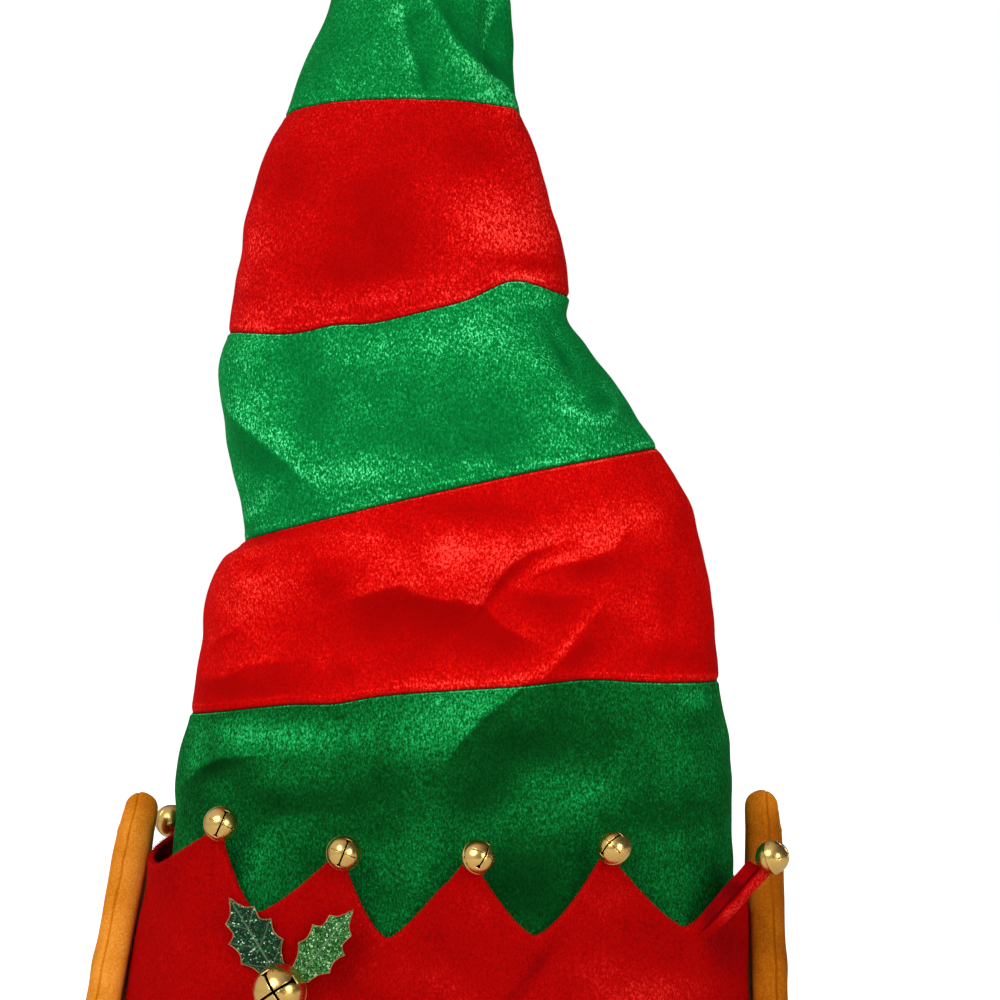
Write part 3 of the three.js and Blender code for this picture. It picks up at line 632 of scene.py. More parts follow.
def velour(name, shades, seam_shade, grain_share):
    """Short-pile polyester velour, knitted and sheared: the pile lies in patches that are bright or
    dark as it is brushed, the tone attribute adds painted light and shade to them, its bright patches
    are grainy, and the surface looks deep and soft."""
    material, tree = new_finish(name)
    place = add(tree, "TexCoord").outputs["Object"]
    # this tone attribute carries the pile's own tone together with painted light and shade
    tone = add(tree, "Attribute", {"attribute_name": "pile_and_shade"}).outputs["Fac"]
    seam = add(tree, "Attribute", {"attribute_name": "seam"}).outputs["Fac"]
    brushed = add(tree, "TexNoise", Vector=place, Scale=per_mm(BRUSHED_PATCH), Detail=3.0, Roughness=0.6)
    # The pile's fibres are 0.05 mm thick, and their tufts are drawn 0.8 mm wide so that they can be seen.
    combed = add(tree, "Mapping", Vector=place, Scale=(1.0, 1.0, 0.6))
    pile = add(tree, "TexNoise", Vector=combed.outputs[0], Scale=per_mm(TUFT), Detail=2.0,
               Roughness=0.75)
    lie = add(tree, "Math", {"operation": "MULTIPLY_ADD"}, i0=brushed.outputs[0], i1=0.36, i2=0.22)
    # the tone attribute's painted light and shade, over the random brushed patches
    light = add(tree, "Math", {"operation": "MULTIPLY_ADD"}, i0=tone, i1=0.28, i2=lie.outputs[0])
    held = add(tree, "Clamp", Value=light.outputs[0], Min=0.0, Max=1.0)
    grain = add(tree, "Math", {"operation": "SUBTRACT"}, i0=pile.outputs[0], i1=0.5)
    strength = add(tree, "Math", {"operation": "MULTIPLY_ADD"},
                   i0=held.outputs[0], i1=2.4 * grain_share, i2=0.3 * grain_share)
    shade = add(tree, "Math", {"operation": "MULTIPLY_ADD"},
                i0=grain.outputs[0], i1=strength.outputs[0], i2=held.outputs[0])
    pile_colour = ramp(tree, shade.outputs[0], PILE_PLACES, shades)
    colour = add(tree, "Mix", {"data_type": "RGBA"}, Factor=seam, i6=pile_colour, i7=linear(seam_shade))
    bump = add(tree, "Bump", Height=pile.outputs[0], Strength=0.4, Distance=0.4 * MM)
    shader = add(tree, "BsdfPrincipled", Base_Color=colour.outputs[2], Roughness=0.85,
                 Normal=bump.outputs[0], Sheen_Weight=0.25, Sheen_Roughness=0.35,
                 Sheen_Tint=linear(shades[3]), Specular_IOR_Level=0.03)
    add(tree, "OutputMaterial", Surface=shader.outputs[0])
    return material


def felt(name, shades):
    """Needled polyester felt on the ears: matt, with short tangled fibres that mottle it, and the painted light and
    shade of the tone attribute.
    """
    material, tree = new_finish(name)
    place = add(tree, "TexCoord").outputs["Object"]
    tone = add(tree, "Attribute", {"attribute_name": "pile_and_shade"}).outputs["Fac"]
    fibres = add(tree, "TexNoise", Vector=place, Scale=per_mm(TUFT), Detail=3.0, Roughness=0.75)
    mottle = add(tree, "TexNoise", Vector=place, Scale=per_mm(7), Detail=2.0, Roughness=0.5)
    grain = add(tree, "Math", {"operation": "MULTIPLY_ADD"},
                i0=fibres.outputs[0], i1=1.0, i2=-0.25)
    cloud = add(tree, "Math", {"operation": "MULTIPLY_ADD"},
                i0=mottle.outputs[0], i1=0.3, i2=grain.outputs[0])
    value = add(tree, "Math", {"operation": "MULTIPLY_ADD"}, i0=tone, i1=0.35, i2=cloud.outputs[0])
    colour = ramp(tree, value.outputs[0], (0.0, 0.5, 1.0), shades)
    bump = add(tree, "Bump", Height=fibres.outputs[0], Strength=0.4, Distance=0.3 * MM)
    shader = add(tree, "BsdfPrincipled", Base_Color=colour, Roughness=0.95,
                 Normal=bump.outputs[0], Sheen_Weight=0.08, Sheen_Roughness=0.5,
                 Sheen_Tint=linear(shades[-1]), Specular_IOR_Level=0.05)
    add(tree, "OutputMaterial", Surface=shader.outputs[0])
    return material


def plated_brass():
    """Brass-plated steel, pressed and tumbled: a pale gold mirror with slight ripples."""
    material, tree = new_finish("plated_brass_pressed")
    place = add(tree, "TexCoord").outputs["Object"]
    ripple = add(tree, "TexNoise", Vector=place, Scale=per_mm(5), Detail=1.0)
    bump = add(tree, "Bump", Height=ripple.outputs[0], Strength=0.4, Distance=0.8 * MM)
    rub = add(tree, "TexNoise", Vector=place, Scale=per_mm(2.4), Detail=3.0)
    gloss = add(tree, "Math", {"operation": "MULTIPLY_ADD"}, i0=rub.outputs[0], i1=0.2, i2=0.14)
    shader = add(tree, "BsdfPrincipled", Base_Color=linear("#dbb468"), Metallic=1.0,
                 Roughness=gloss.outputs[0], Normal=bump.outputs[0])
    add(tree, "OutputMaterial", Surface=shader.outputs[0])
    return material


def shaded_inside():
    """Painted shade inside the pressed steel bells: a near-black matt metal, so that the slits look black."""
    material, tree = new_finish("bell_inside_painted_shade")
    shader = add(tree, "BsdfPrincipled", Base_Color=linear("#1e1712"), Metallic=1.0, Roughness=0.7)
    add(tree, "OutputMaterial", Surface=shader.outputs[0])
    return material


def glitter_leaf(name, shades, places):
    """Green satin leaf, printed with veins, edged in gilt and dusted with polyester glitter, whose
    glints are painted: most of its grains lie dark, some are painted bright and a few nearly white."""
    material, tree = new_finish(name)
    place = add(tree, "TexCoord").outputs["Object"]
    vein = add(tree, "Attribute", {"attribute_name": "vein"}).outputs["Fac"]
    edge = add(tree, "Attribute", {"attribute_name": "edge"}).outputs["Fac"]
    # The grains are 0.2 mm wide, and are drawn 0.55 mm wide so that they can be seen.
    grains = add(tree, "TexVoronoi", Vector=place, Scale=per_mm(0.55))
    chosen = add(tree, "SeparateColor", i0=grains.outputs["Color"])
    drift = add(tree, "TexNoise", Vector=place, Scale=per_mm(4), Detail=1.0)
    lit = add(tree, "Math", {"operation": "MULTIPLY_ADD"},
              i0=drift.outputs[0], i1=0.3, i2=-0.15)
    value = add(tree, "Math", {"operation": "ADD"}, i0=chosen.outputs[0], i1=lit.outputs[0])
    # the glitter grains are painted as glints
    green = ramp(tree, value.outputs[0], places, shades)
    veined = add(tree, "Mix", {"data_type": "RGBA"}, Factor=vein, i6=green, i7=linear("#6f8f68"))
    gilt = add(tree, "Mix", {"data_type": "RGBA"}, Factor=edge, i6=veined.outputs[2], i7=linear("#a07a50"))
    metal = add(tree, "Math", {"operation": "MULTIPLY"}, i0=edge, i1=0.8)
    tilt = add(tree, "Bump", Height=chosen.outputs[1], Strength=0.4, Distance=0.2 * MM)
    shader = add(tree, "BsdfPrincipled", Base_Color=gilt.outputs[2], Metallic=metal.outputs[0],
                 Roughness=0.55, Normal=tilt.outputs[0], Specular_IOR_Level=0.15)
    add(tree, "OutputMaterial", Surface=shader.outputs[0])
    return material


LOW_GREEN = velour("green_velour_low", ("#002c09", "#034515", "#07692a", "#109545", "#34bc6c"),
                   "#04180a", 1.2)
MID_GREEN = velour("green_velour_middle", ("#005a24", "#036d2f", "#078039", "#19b056", "#5ce79a"),
                   "#05240f", 1.9)
TOP_GREEN = velour("green_velour_top", ("#005824", "#036a2c", "#067b34", "#129c4b", "#4fd083"),
                   "#05240f", 1.9)
LOW_RED = velour("red_velour_low", ("#9c0000", "#b20101", "#ca0503", "#e61912", "#ff4337"), "#2c0a04", 1.3)
TOP_RED = velour("red_velour_top", ("#960000", "#aa0101", "#c20505", "#e41c17", "#ff463c"), "#2c0a04", 1.5)
CUFF_RED = velour("red_velour_cuff", ("#6c0006", "#9a0000", "#a60202", "#ba0e0c", "#dc2a24"), "#2c0a04", 1.0)
EAR_FELT = felt("ear_felt_orange", ("#8e4804", "#c97412", "#f0a040"))
BRASS = plated_brass()
SHADED_INSIDE = shaded_inside()
LEAF_DARK = glitter_leaf("holly_satin_dark", ("#061c0e", "#0d3a1c", "#1c6232", "#9ccaa2", "#d8f0d6"),
                         (0.3, 0.75, 0.91, 0.98, 1.0))
LEAF_BRIGHT = glitter_leaf("holly_satin_bright", ("#0a2c0c", "#1f5a1e", "#3a8233", "#86c67e", "#dcf5d6"),
                           (0.1, 0.5, 0.8, 0.95, 1.0))


# Crown stripes, each a sewn ring of cloth with its edges turned in at the seams

STRIPES = [
    # name, from row, to row, columns, finish, slot
    ["stripe_1_green", 0, 4, 440, LOW_GREEN, "green_velour"],
    ["stripe_2_red", 4, 8, 440, LOW_RED, "red_velour"],
    ["stripe_3_green", 8, 12, 380, MID_GREEN, "green_velour"],
    ["stripe_4_red", 12, 16, 330, TOP_RED, "red_velour"],
    ["stripe_5_green", 16, 19, 270, TOP_GREEN, "green_velour"],
    ["tip_red", 19, 22, 220, TOP_RED, "red_velour"],
]
SEAM_TUCK = 0.9  # how deep a seam pulls the cloth in
SEAM_REACH = 1.3  # and how far from the seam that begins
SEAM_GAP = 0.05
SEAM_PUCKER = 0.12
BESIDE_SEAM = np.array([0, 0.15, 0.35, 0.6, 0.9, 1.3, 1.8, 2.5, 3.3])  # rows of points beside a seam
PAST_SEAM = 4.1  # where the even rows begin
STRIPE_ROWS = 88
LINING_ROWS = 12
TIP_CEILING = (0, 1.2, 2)  # from the middle of the lining's last row to the point that closes it
SEAM_HIGHLIGHTS = [
    # side of the stripe (0 lower, 1 upper), distance from its seam, width, tone
    [0, 2.6, 0.5, 0.9],  # painted highlights above a seam, on the ridge of the turned-in edge
    [0, 1.3, 0.35, 0.5],
    [1, 0.75, 0.35, 1.8],  # and a painted highlight on the raised fibres below it
]
FINE = 1


def stripe_levels(first, last, rows):
    """Rows of the section table for one stripe, close together beside its seams."""
    height = float(np.ptp(mix(left_edge[:, 2], right_edge[:, 2], 0.5)[[first, last]]))
    evenly = np.linspace(PAST_SEAM, height - PAST_SEAM, rows)
    distance = np.concatenate([BESIDE_SEAM, evenly, height - BESIDE_SEAM[::-1]])
    level = mix(first, last, (SEAM_GAP + distance * (1 - 2 * SEAM_GAP / height)) / height)
    return level, distance, height


def front_dense_turns(columns):
    """Turns round the hat that lie closer together at the front."""
    even = np.arange(columns) / columns * 2 * math.pi
    return even - 0.45 * np.sin(even)


def closed_tip(levels, linings, columns, middle):
    """Faces of the last stripe: outside and lining close each over the top, at that middle point."""
    outside = ring_faces(levels, columns)
    inside = [[i + levels * columns for i in face] for face in ring_faces(linings, columns)]
    last_row = (levels + linings - 1) * columns
    hem = [[last_row + i, last_row + (i + 1) % columns, (i + 1) % columns, i] for i in range(columns)]
    top = levels * columns
    ceiling = [[middle, top + (i + 1) % columns, top + i] for i in range(columns)]
    return outside + inside + hem + ceiling


def make_stripe(name, first, last, columns, finish, slot):
    columns //= FINE
    turns = front_dense_turns(columns)
    level, distance, height = stripe_levels(first, last, STRIPE_ROWS // FINE)
    far = np.full_like(distance, 99)
    from_lower = distance if first > 0 else far
    from_upper = height - distance if last < len(SECTIONS) - 1 else far
    from_seam = np.minimum(from_lower, from_upper)
    tuck = SEAM_TUCK * np.exp(-(from_seam / SEAM_REACH) ** 2)
    puckers = SEAM_PUCKER * np.exp(-from_seam / 3)[:, None] * (
        np.sin(turns * 61 + first) + np.sin(turns * 37 + 2 * first))[None, :]
    outside, tone = crown_cloth(*np.meshgrid(level, turns, indexing="ij"), tuck[:, None] - puckers)
    # painted highlights beside the seams
    seam_highlights = sum(bright * np.exp(-(((from_lower, from_upper)[at] - away) / width) ** 2)
                for at, away, width, bright in SEAM_HIGHLIGHTS)
    seam = 0.9 * np.exp(-(from_lower / 0.55) ** 2) + 0.8 * np.exp(-(from_upper / 0.3) ** 2)
    uneven = 0.75 + 0.25 * np.sin(turns * 9 + 2 * first)
    tone = tone + seam_highlights[:, None] * uneven[None, :]
    is_tip = last == len(SECTIONS) - 1
    lining_level = np.linspace(level[-1] - (0.35 if is_tip else 0), level[0], LINING_ROWS)
    lining, lining_tone = crown_cloth(*np.meshgrid(lining_level, turns, indexing="ij"), CROWN_WALL)
    points = np.concatenate([outside.reshape(-1, 3), lining.reshape(-1, 3)])
    # the lining gets painted shade inside the hat
    tones = np.concatenate([tone.ravel(), lining_tone.ravel() - 0.6])
    seams = np.zeros(len(tones))
    seams[:outside.size // 3] = np.repeat(seam, columns)
    if is_tip:
        faces = closed_tip(len(level), LINING_ROWS, columns, len(points))
        points = np.vstack([points, lining[0].mean(0) + TIP_CEILING])
        tones = np.append(tones, 0)
        seams = np.append(seams, 0)
    else:
        faces = ring_faces(len(level) + LINING_ROWS, columns, wrap=True)
    piece = make_piece(name + "_velour", points, faces, [name], finish,
                       {"pile_and_shade": tones, "seam": seams})
    around = np.linalg.norm(np.roll(outside, -1, axis=1) - outside, axis=2).sum(1).max()
    tall = np.linalg.norm(np.diff(outside, axis=0), axis=2).sum(0).max()
    return piece, around * MM, tall * MM


def make_crown():
    for row in STRIPES:
        piece, around, tall = make_stripe(*row)


# Cuff: doubled velour, turned up, with a zigzag edge

def cuff_columns(count):
    """For each column its turn, the heights of its edge, valley and tip, and its point's bend."""
    turn = np.linspace(0, 360, count, endpoint=False) + POINTS[0][0]
    table = np.array(POINTS + [[POINTS[0][0] + 360] + POINTS[0][1:]])
    which = np.searchsorted(table[:, 0], turn, side="right") - 1
    point, following = table[which], table[which + 1]
    rising = turn < point[:, 2]
    start = np.where(rising, point[:, 0], following[:, 0])
    valley = CUFF_HEIGHT + np.where(rising, point[:, 1], following[:, 1]) * POINT_HEIGHT
    tip = CUFF_HEIGHT + point[:, 3] * POINT_HEIGHT
    climb = (turn - start) / (point[:, 2] - start)
    edge = mix(valley, tip, climb ** FLANK_CURVE)
    return {"turn": np.radians(turn), "climb": climb, "edge": edge, "valley": valley, "tip": tip,
            "lean": point[:, 4] * POINT_HEIGHT, "shift": point[:, 5] * POINT_HEIGHT}


def cuff_sides(up):
    share = up / cuff_top
    return mix(*CUFF_LEFT, share) * rim_half_width, mix(*CUFF_RIGHT, share) * rim_half_width


def cuff_places(turn, up, inset, lean=0, shift=0, bend=0):
    left, right = cuff_sides(up)
    half_width = (right - left) / 2
    across, to_back = rounded(np.sin(turn)), -rounded(np.cos(turn))
    outward = np.stack([across * rim_half_depth, to_back * half_width], -1)
    outward /= np.linalg.norm(outward, axis=-1, keepdims=True)
    lean, shift = lean * bend, shift * bend
    x = (left + right) / 2 + across * (half_width - inset) + outward[..., 0] * lean - outward[..., 1] * shift
    y = to_back * (rim_half_depth - inset) + outward[..., 1] * lean + outward[..., 0] * shift
    return np.stack([x, y, np.broadcast_to(up, x.shape)], -1)


CUFF_COLUMNS = 900
CUFF_ROWS = 76
CUFF_DENT = 0.4
EDGE_FIBRES = 6400


def make_cuff():
    columns = cuff_columns(CUFF_COLUMNS // FINE)
    edge = columns["edge"]

    def loop(up, inset):
        climb = np.maximum(0, (up - columns["valley"]) / (columns["tip"] - columns["valley"]))
        return cuff_places(columns["turn"], up, inset, columns["lean"], columns["shift"], climb ** BEND_CURVE)

    roll = CUFF_WALL / 2
    loops, tones = [], []
    # painted shade on the rolled bottom edge
    for angle in np.linspace(0, math.pi / 2, 5)[:-1]:
        loops.append(loop(np.full_like(edge, roll - roll * math.cos(angle)), roll - roll * math.sin(angle)))
        tones.append(-0.4)
    front = -rounded(np.cos(columns["turn"]))
    for share in 1 - np.linspace(1, 0, CUFF_ROWS // FINE) ** 1.35:
        up = mix(roll, edge - roll, share)
        flat = loop(up, 0)
        free = smooth(share, 0.02, 0.2) * smooth(1 - share, 0.0, 0.1)
        dent = CUFF_DENT * (waves(flat, 34, 8, 11) - 1.6) * free
        loops.append(loop(up, -dent))
        # the pile's own uneven tone, a painted highlight just under the top edge, and the painted light and shade of
        # the cuff's patches
        tones.append(0.25 * waves(flat, 40, 8, 12) + 0.6 * np.exp(-((edge - up) / 1.5) ** 2)
                     + pile_and_shade_tone(flat[:, 0], up, front, CUFF_PILE_AND_SHADE_PATCHES))
    # painted highlight on the rolled top edge
    for angle in np.linspace(0, math.pi, 9)[1:-1]:
        inward = (1 - math.cos(angle)) / 2
        loops.append(loop(edge - roll + roll * math.sin(angle), CUFF_WALL * inward))
        tones.append(0.4)
    # painted shade on the inside
    for share in np.linspace(1, 0, 16):
        loops.append(loop(mix(HEM_HEIGHT, edge - roll, share), CUFF_WALL))
        tones.append(-0.5)
    # painted shade on the hem
    hem = CUFF_WALL + CUFF_FIT + CROWN_WALL
    for up, inset in ((HEM_HEIGHT, hem - 0.6), (HEM_HEIGHT - 0.6, hem), (0.6, hem), (0, hem - 0.6)):
        loops.append(loop(np.full_like(edge, up), inset))
        tones.append(-0.5)
    points = np.stack(loops)
    tone = np.stack([np.broadcast_to(t, edge.shape) for t in tones])
    faces = ring_faces(len(loops), len(edge), wrap=True)
    piece = make_piece("cuff_velour", points, faces, ["cuff"], CUFF_RED, {"pile_and_shade": tone})
    return piece


def make_folded_strip():
    """The folded point's thick edge: the cloth lies double, with painted shade on its upper half and in a groove,
    and painted light on its lower half.
    """
    start, end = np.array(STRIP_START), np.array(STRIP_END)
    out_of_cuff = np.array(STRIP_FACING)
    way = (end - start) / np.linalg.norm(end - start)
    width_way = np.cross(way, out_of_cuff)
    width_way *= -np.sign(width_way[2])
    around = np.linspace(0, 2 * math.pi, 96 // FINE, endpoint=False)
    loops, tones = [], []
    for share in np.linspace(0, 1, 80 // FINE):
        closing = max(1e-3, 1 - max(0, (share - 0.93) / 0.07) ** 3) ** 0.5
        widening = float(smooth(share, 0, 0.5))
        half_width = STRIP_HALF_WIDTH * mix(0.6, 1, widening)
        thick = STRIP_THICK * closing * mix(0.1, 1, widening)
        across = rounded(np.cos(around))
        is_outside = np.sin(around) > 0
        groove = (np.exp(-((across + 0.02) * half_width / 0.6) ** 2) * is_outside
                  * float(smooth(share, 0.1, 0.4)))
        lower = smooth(across, -0.1, 0.3)
        stand = rounded(np.sin(around)) * thick * (0.75 + 0.35 * lower) - STRIP_GROOVE * groove * closing
        bow = STRIP_BOW * math.sin(math.pi * share) - STRIP_TUCK * (1 - share) ** 4
        middle = mix(start, end, share) + out_of_cuff * bow
        loops.append(middle + np.outer(across * half_width, width_way) + np.outer(stand, out_of_cuff))
        # painted shade on the upper half and in the groove, painted light on the lower half
        tones.append(mix(-1.0, 1.1, lower) * smooth(share, 0.15, 0.5) - 1.8 * groove)
    points = np.stack(loops)
    count = points.shape[1]
    points += 0.25 * waves(points, 9, 7, 41)[..., None] * out_of_cuff
    faces = capped_faces(len(loops), count)
    tone = np.stack(tones) + 0.3 * waves(points, 12, 7, 42)
    return make_piece("cuff_folded_edge", points, faces, [], CUFF_RED, {"pile_and_shade": tone})


# Short fibres that stand off the cuff's cut edge

def make_fibres(name, roots, ways, lengths, width, finish):
    """One closed three-sided spike for each fibre, all in one mesh."""
    count = len(roots)
    ways = ways / np.linalg.norm(ways, axis=1, keepdims=True)
    side = np.cross(ways, chance.normal(size=(count, 3)))
    side /= np.linalg.norm(side, axis=1, keepdims=True)
    other = np.cross(ways, side)
    corners = [roots - 0.15 * ways + width / 2 * (math.cos(a) * side + math.sin(a) * other)
               for a in (0, 2 * math.pi / 3, 4 * math.pi / 3)]
    points = np.stack(corners + [roots + ways * lengths[:, None]], 1)
    base = np.arange(count)[:, None] * 4
    pattern = [(0, 1, 3), (1, 2, 3), (2, 0, 3), (2, 1, 0)]
    faces = np.concatenate([base + np.array(p)[None, :] for p in pattern]).tolist()
    # painted highlight: every fibre takes the pile's brightest tone
    tones = {"pile_and_shade": np.full(count * 4, 1.0)}
    return make_piece(name, points, faces, [], finish, tones)


def make_edge_fibres():
    columns = cuff_columns(EDGE_FIBRES // FINE)
    bend = columns["climb"] ** (FLANK_CURVE * BEND_CURVE)
    place = cuff_places(columns["turn"], columns["edge"] - 0.2, chance.uniform(0, CUFF_WALL, len(bend)),
                        columns["lean"], columns["shift"], bend)
    along = np.roll(place, -1, axis=0) - np.roll(place, 1, axis=0)
    outward = np.stack([np.sin(columns["turn"]), -np.cos(columns["turn"]), 0 * bend], 1)
    up = np.cross(outward, along)
    up *= np.sign(up[:, 2])[:, None]
    up /= np.maximum(np.linalg.norm(up, axis=1, keepdims=True), 1e-9)
    ways = up + 0.5 * outward + 0.5 * chance.normal(size=place.shape)
    return make_fibres("cuff_edge_fibres", place, ways, chance.uniform(0.3, 1.0, len(bend)), 0.13,
                       CUFF_RED)


# Jingle bells

def lathe(profile, sides):
    """Points and faces of a profile turned round Z, from pole to pole."""
    turn = np.arange(sides) / sides * 2 * math.pi
    rings = [np.stack([r * np.cos(turn), r * np.sin(turn), np.full(sides, z)], 1) for r, z in profile[1:-1]]
    points = np.concatenate(rings + [[[0, 0, profile[0][1]], [0, 0, profile[-1][1]]]])
    faces = ring_faces(len(rings), sides)
    low, high = len(points) - 2, len(points) - 1
    top = (len(rings) - 1) * sides
    faces += [[low, (i + 1) % sides, i] for i in range(sides)]
    faces += [[high, top + i, top + (i + 1) % sides] for i in range(sides)]
    return points, faces


def scratch_object(points, faces):
    mesh = bpy.data.meshes.new("cutter")
    mesh.from_pydata(np.asarray(points).tolist(), [], faces)
    return put("cutter", mesh)


def bar_points(length, width, low, high, turn):
    c, s = math.cos(turn), math.sin(turn)
    flat = [(c * x - s * y, s * x + c * y) for x, y in
            ((-length / 2, -width / 2), (length / 2, -width / 2), (length / 2, width / 2), (-length / 2, width / 2))]
    return [(x, y, z) for z in (low, high) for x, y in flat]


BAR_FACES = [[3, 2, 1, 0], [4, 5, 6, 7], [0, 1, 5, 4], [1, 2, 6, 5], [2, 3, 7, 6], [3, 0, 4, 7]]


def slit_cutters(radius, width, turn):
    """A bar for one slit and a three-cornered hole at each of its ends."""
    reach = radius * math.sin(SLIT_REACH)
    cutters = [scratch_object(bar_points(2 * reach, width, radius * 0.5, radius * 1.2, turn), BAR_FACES)]
    for half_turn in (0, math.pi):
        hole, hole_faces = lathe([(0, -2), (width * SLIT_HOLE, -2), (width * SLIT_HOLE, 2), (0, 2)], 3)
        hole = hole @ np.array(Matrix.Rotation(-SLIT_REACH, 3, "Y").transposed())
        hole += np.array([-reach, 0, radius * math.cos(SLIT_REACH)])
        spin = np.array(Matrix.Rotation(turn + half_turn, 3, "Z").transposed())
        cutters.append(scratch_object(hole @ spin, hole_faces))
    return cutters


def bell_mesh(radius, wall, slits, sides):
    """Two pressed half balls joined by a rolled lip, with a cross slit that ends in small holes."""
    lip = BELL_LIP
    climb = np.linspace(-math.pi / 2, -math.asin(lip / radius), 14)
    low_half = [(radius * math.cos(a), radius * math.sin(a)) for a in climb]
    roll = [(radius + 0.02, -lip * 0.8), (radius + 0.14, -lip * 0.6), (radius + 0.2, 0),
            (radius + 0.14, lip * 0.6), (radius + 0.02, lip * 0.8)]
    high_half = [(r, -z) for r, z in low_half[::-1]]
    profile = [(0, -radius)] + low_half[1:] + roll + high_half[:-1] + [(0, radius)]
    shell = scratch_object(*lathe(profile, sides))
    inner = radius - wall
    hollow = [(inner * math.cos(a), inner * math.sin(a)) for a in np.linspace(-math.pi / 2, math.pi / 2, 16)]
    hollow[0], hollow[-1] = (0, -inner), (0, inner)
    cutters = [scratch_object(*lathe(hollow, sides // 2))]
    for turn, width in zip((0, math.pi / 2), slits):
        cutters += slit_cutters(radius, width, turn)
    for cutter in cutters:
        cut = shell.modifiers.new("cut", "BOOLEAN")
        cut.operation = "DIFFERENCE"
        cut.object = cutter
        cut.solver = "EXACT"
    bpy.context.view_layer.update()
    finished = bpy.data.meshes.new_from_object(shell.evaluated_get(bpy.context.evaluated_depsgraph_get()))
    for thing in [shell] + cutters:
        bpy.data.objects.remove(thing)
    finished.materials.clear()
    finished.materials.append(BRASS)
    finished.materials.append(SHADED_INSIDE)
    for face in finished.polygons:
        face.material_index = 1 if face.center.length < inner + 0.01 else 0
    return finished


def placed_bell(name, node, mesh, centre, direction, roll):
    turned = (Matrix.Translation(Vector(centre))
              @ Vector((0, 0, 1)).rotation_difference(Vector(direction)).to_matrix().to_4x4()
              @ Matrix.Rotation(roll, 4, "Z"))
    own = mesh.copy()
    own.transform(turned)
    own.transform(Matrix.Scale(MM, 4))
    own.shade_smooth()
    return settle(put(name, own), [node])


def make_small_bells():
    mesh = bell_mesh(BELL_RADIUS, BELL_WALL, BELL_SLITS, 64 // FINE)
    for i, point in enumerate(POINTS):
        tip_turn, tip_up, lean, shift, bell_side, bell_rise, face_side, face_rise, slit_turn = point[2:]
        turn = np.array(math.radians(tip_turn))
        tip = cuff_places(turn, np.array(CUFF_HEIGHT + tip_up * POINT_HEIGHT), 0,
                          lean * POINT_HEIGHT, shift * POINT_HEIGHT, 1)
        outward = Vector((math.sin(turn) * rim_half_depth, -math.cos(turn) * rim_half_width, 0)).normalized()
        sideways = Vector((-outward.y, outward.x, 0))
        hanging = (outward * BELL_OUTWARD + sideways * bell_side + Vector((0, 0, bell_rise))).normalized()
        facing = (outward + sideways * face_side + Vector((0, 0, face_rise))).normalized()
        centre = Vector(tip) + hanging * (BELL_RADIUS + BELL_SEAT)
        placed_bell(f"bell_{i + 1}_brass", f"bell_{i + 1}", mesh, centre, facing, math.radians(slit_turn))


# Holly sprig

def cuff_front(side, up):
    left, right = cuff_sides(up)
    across = (side - (left + right) / 2) / ((right - left) / 2)
    return -rim_half_depth * (1 - np.abs(across) ** SECTION_POWER) ** (1 / SECTION_POWER)


sprig_side = SPRIG_SIDE * rim_half_width
sprig_up = SPRIG_UP * CUFF_HEIGHT
leaf_start = math.sqrt(2 * HOLLY_BELL_RADIUS * (LEAF_THICKNESS + 3 * SPRIG_SEAT))


def leaf_half_width(along):
    """Half width of the leaf: sharp spines with round hollows between them."""
    table = np.array(LEAF_OUTLINE + [[1.0, 0.0]])
    i = np.clip(np.searchsorted(table[:, 0], along, side="right") - 1, 0, len(table) - 2)
    share = (along - table[i, 0]) / (table[i + 1, 0] - table[i, 0])
    rising = table[i + 1, 1] > table[i, 1]
    eased = np.where(rising, share ** 1.7, 1 - (1 - share) ** 1.7)
    return mix(table[i, 1], table[i + 1, 1], eased)


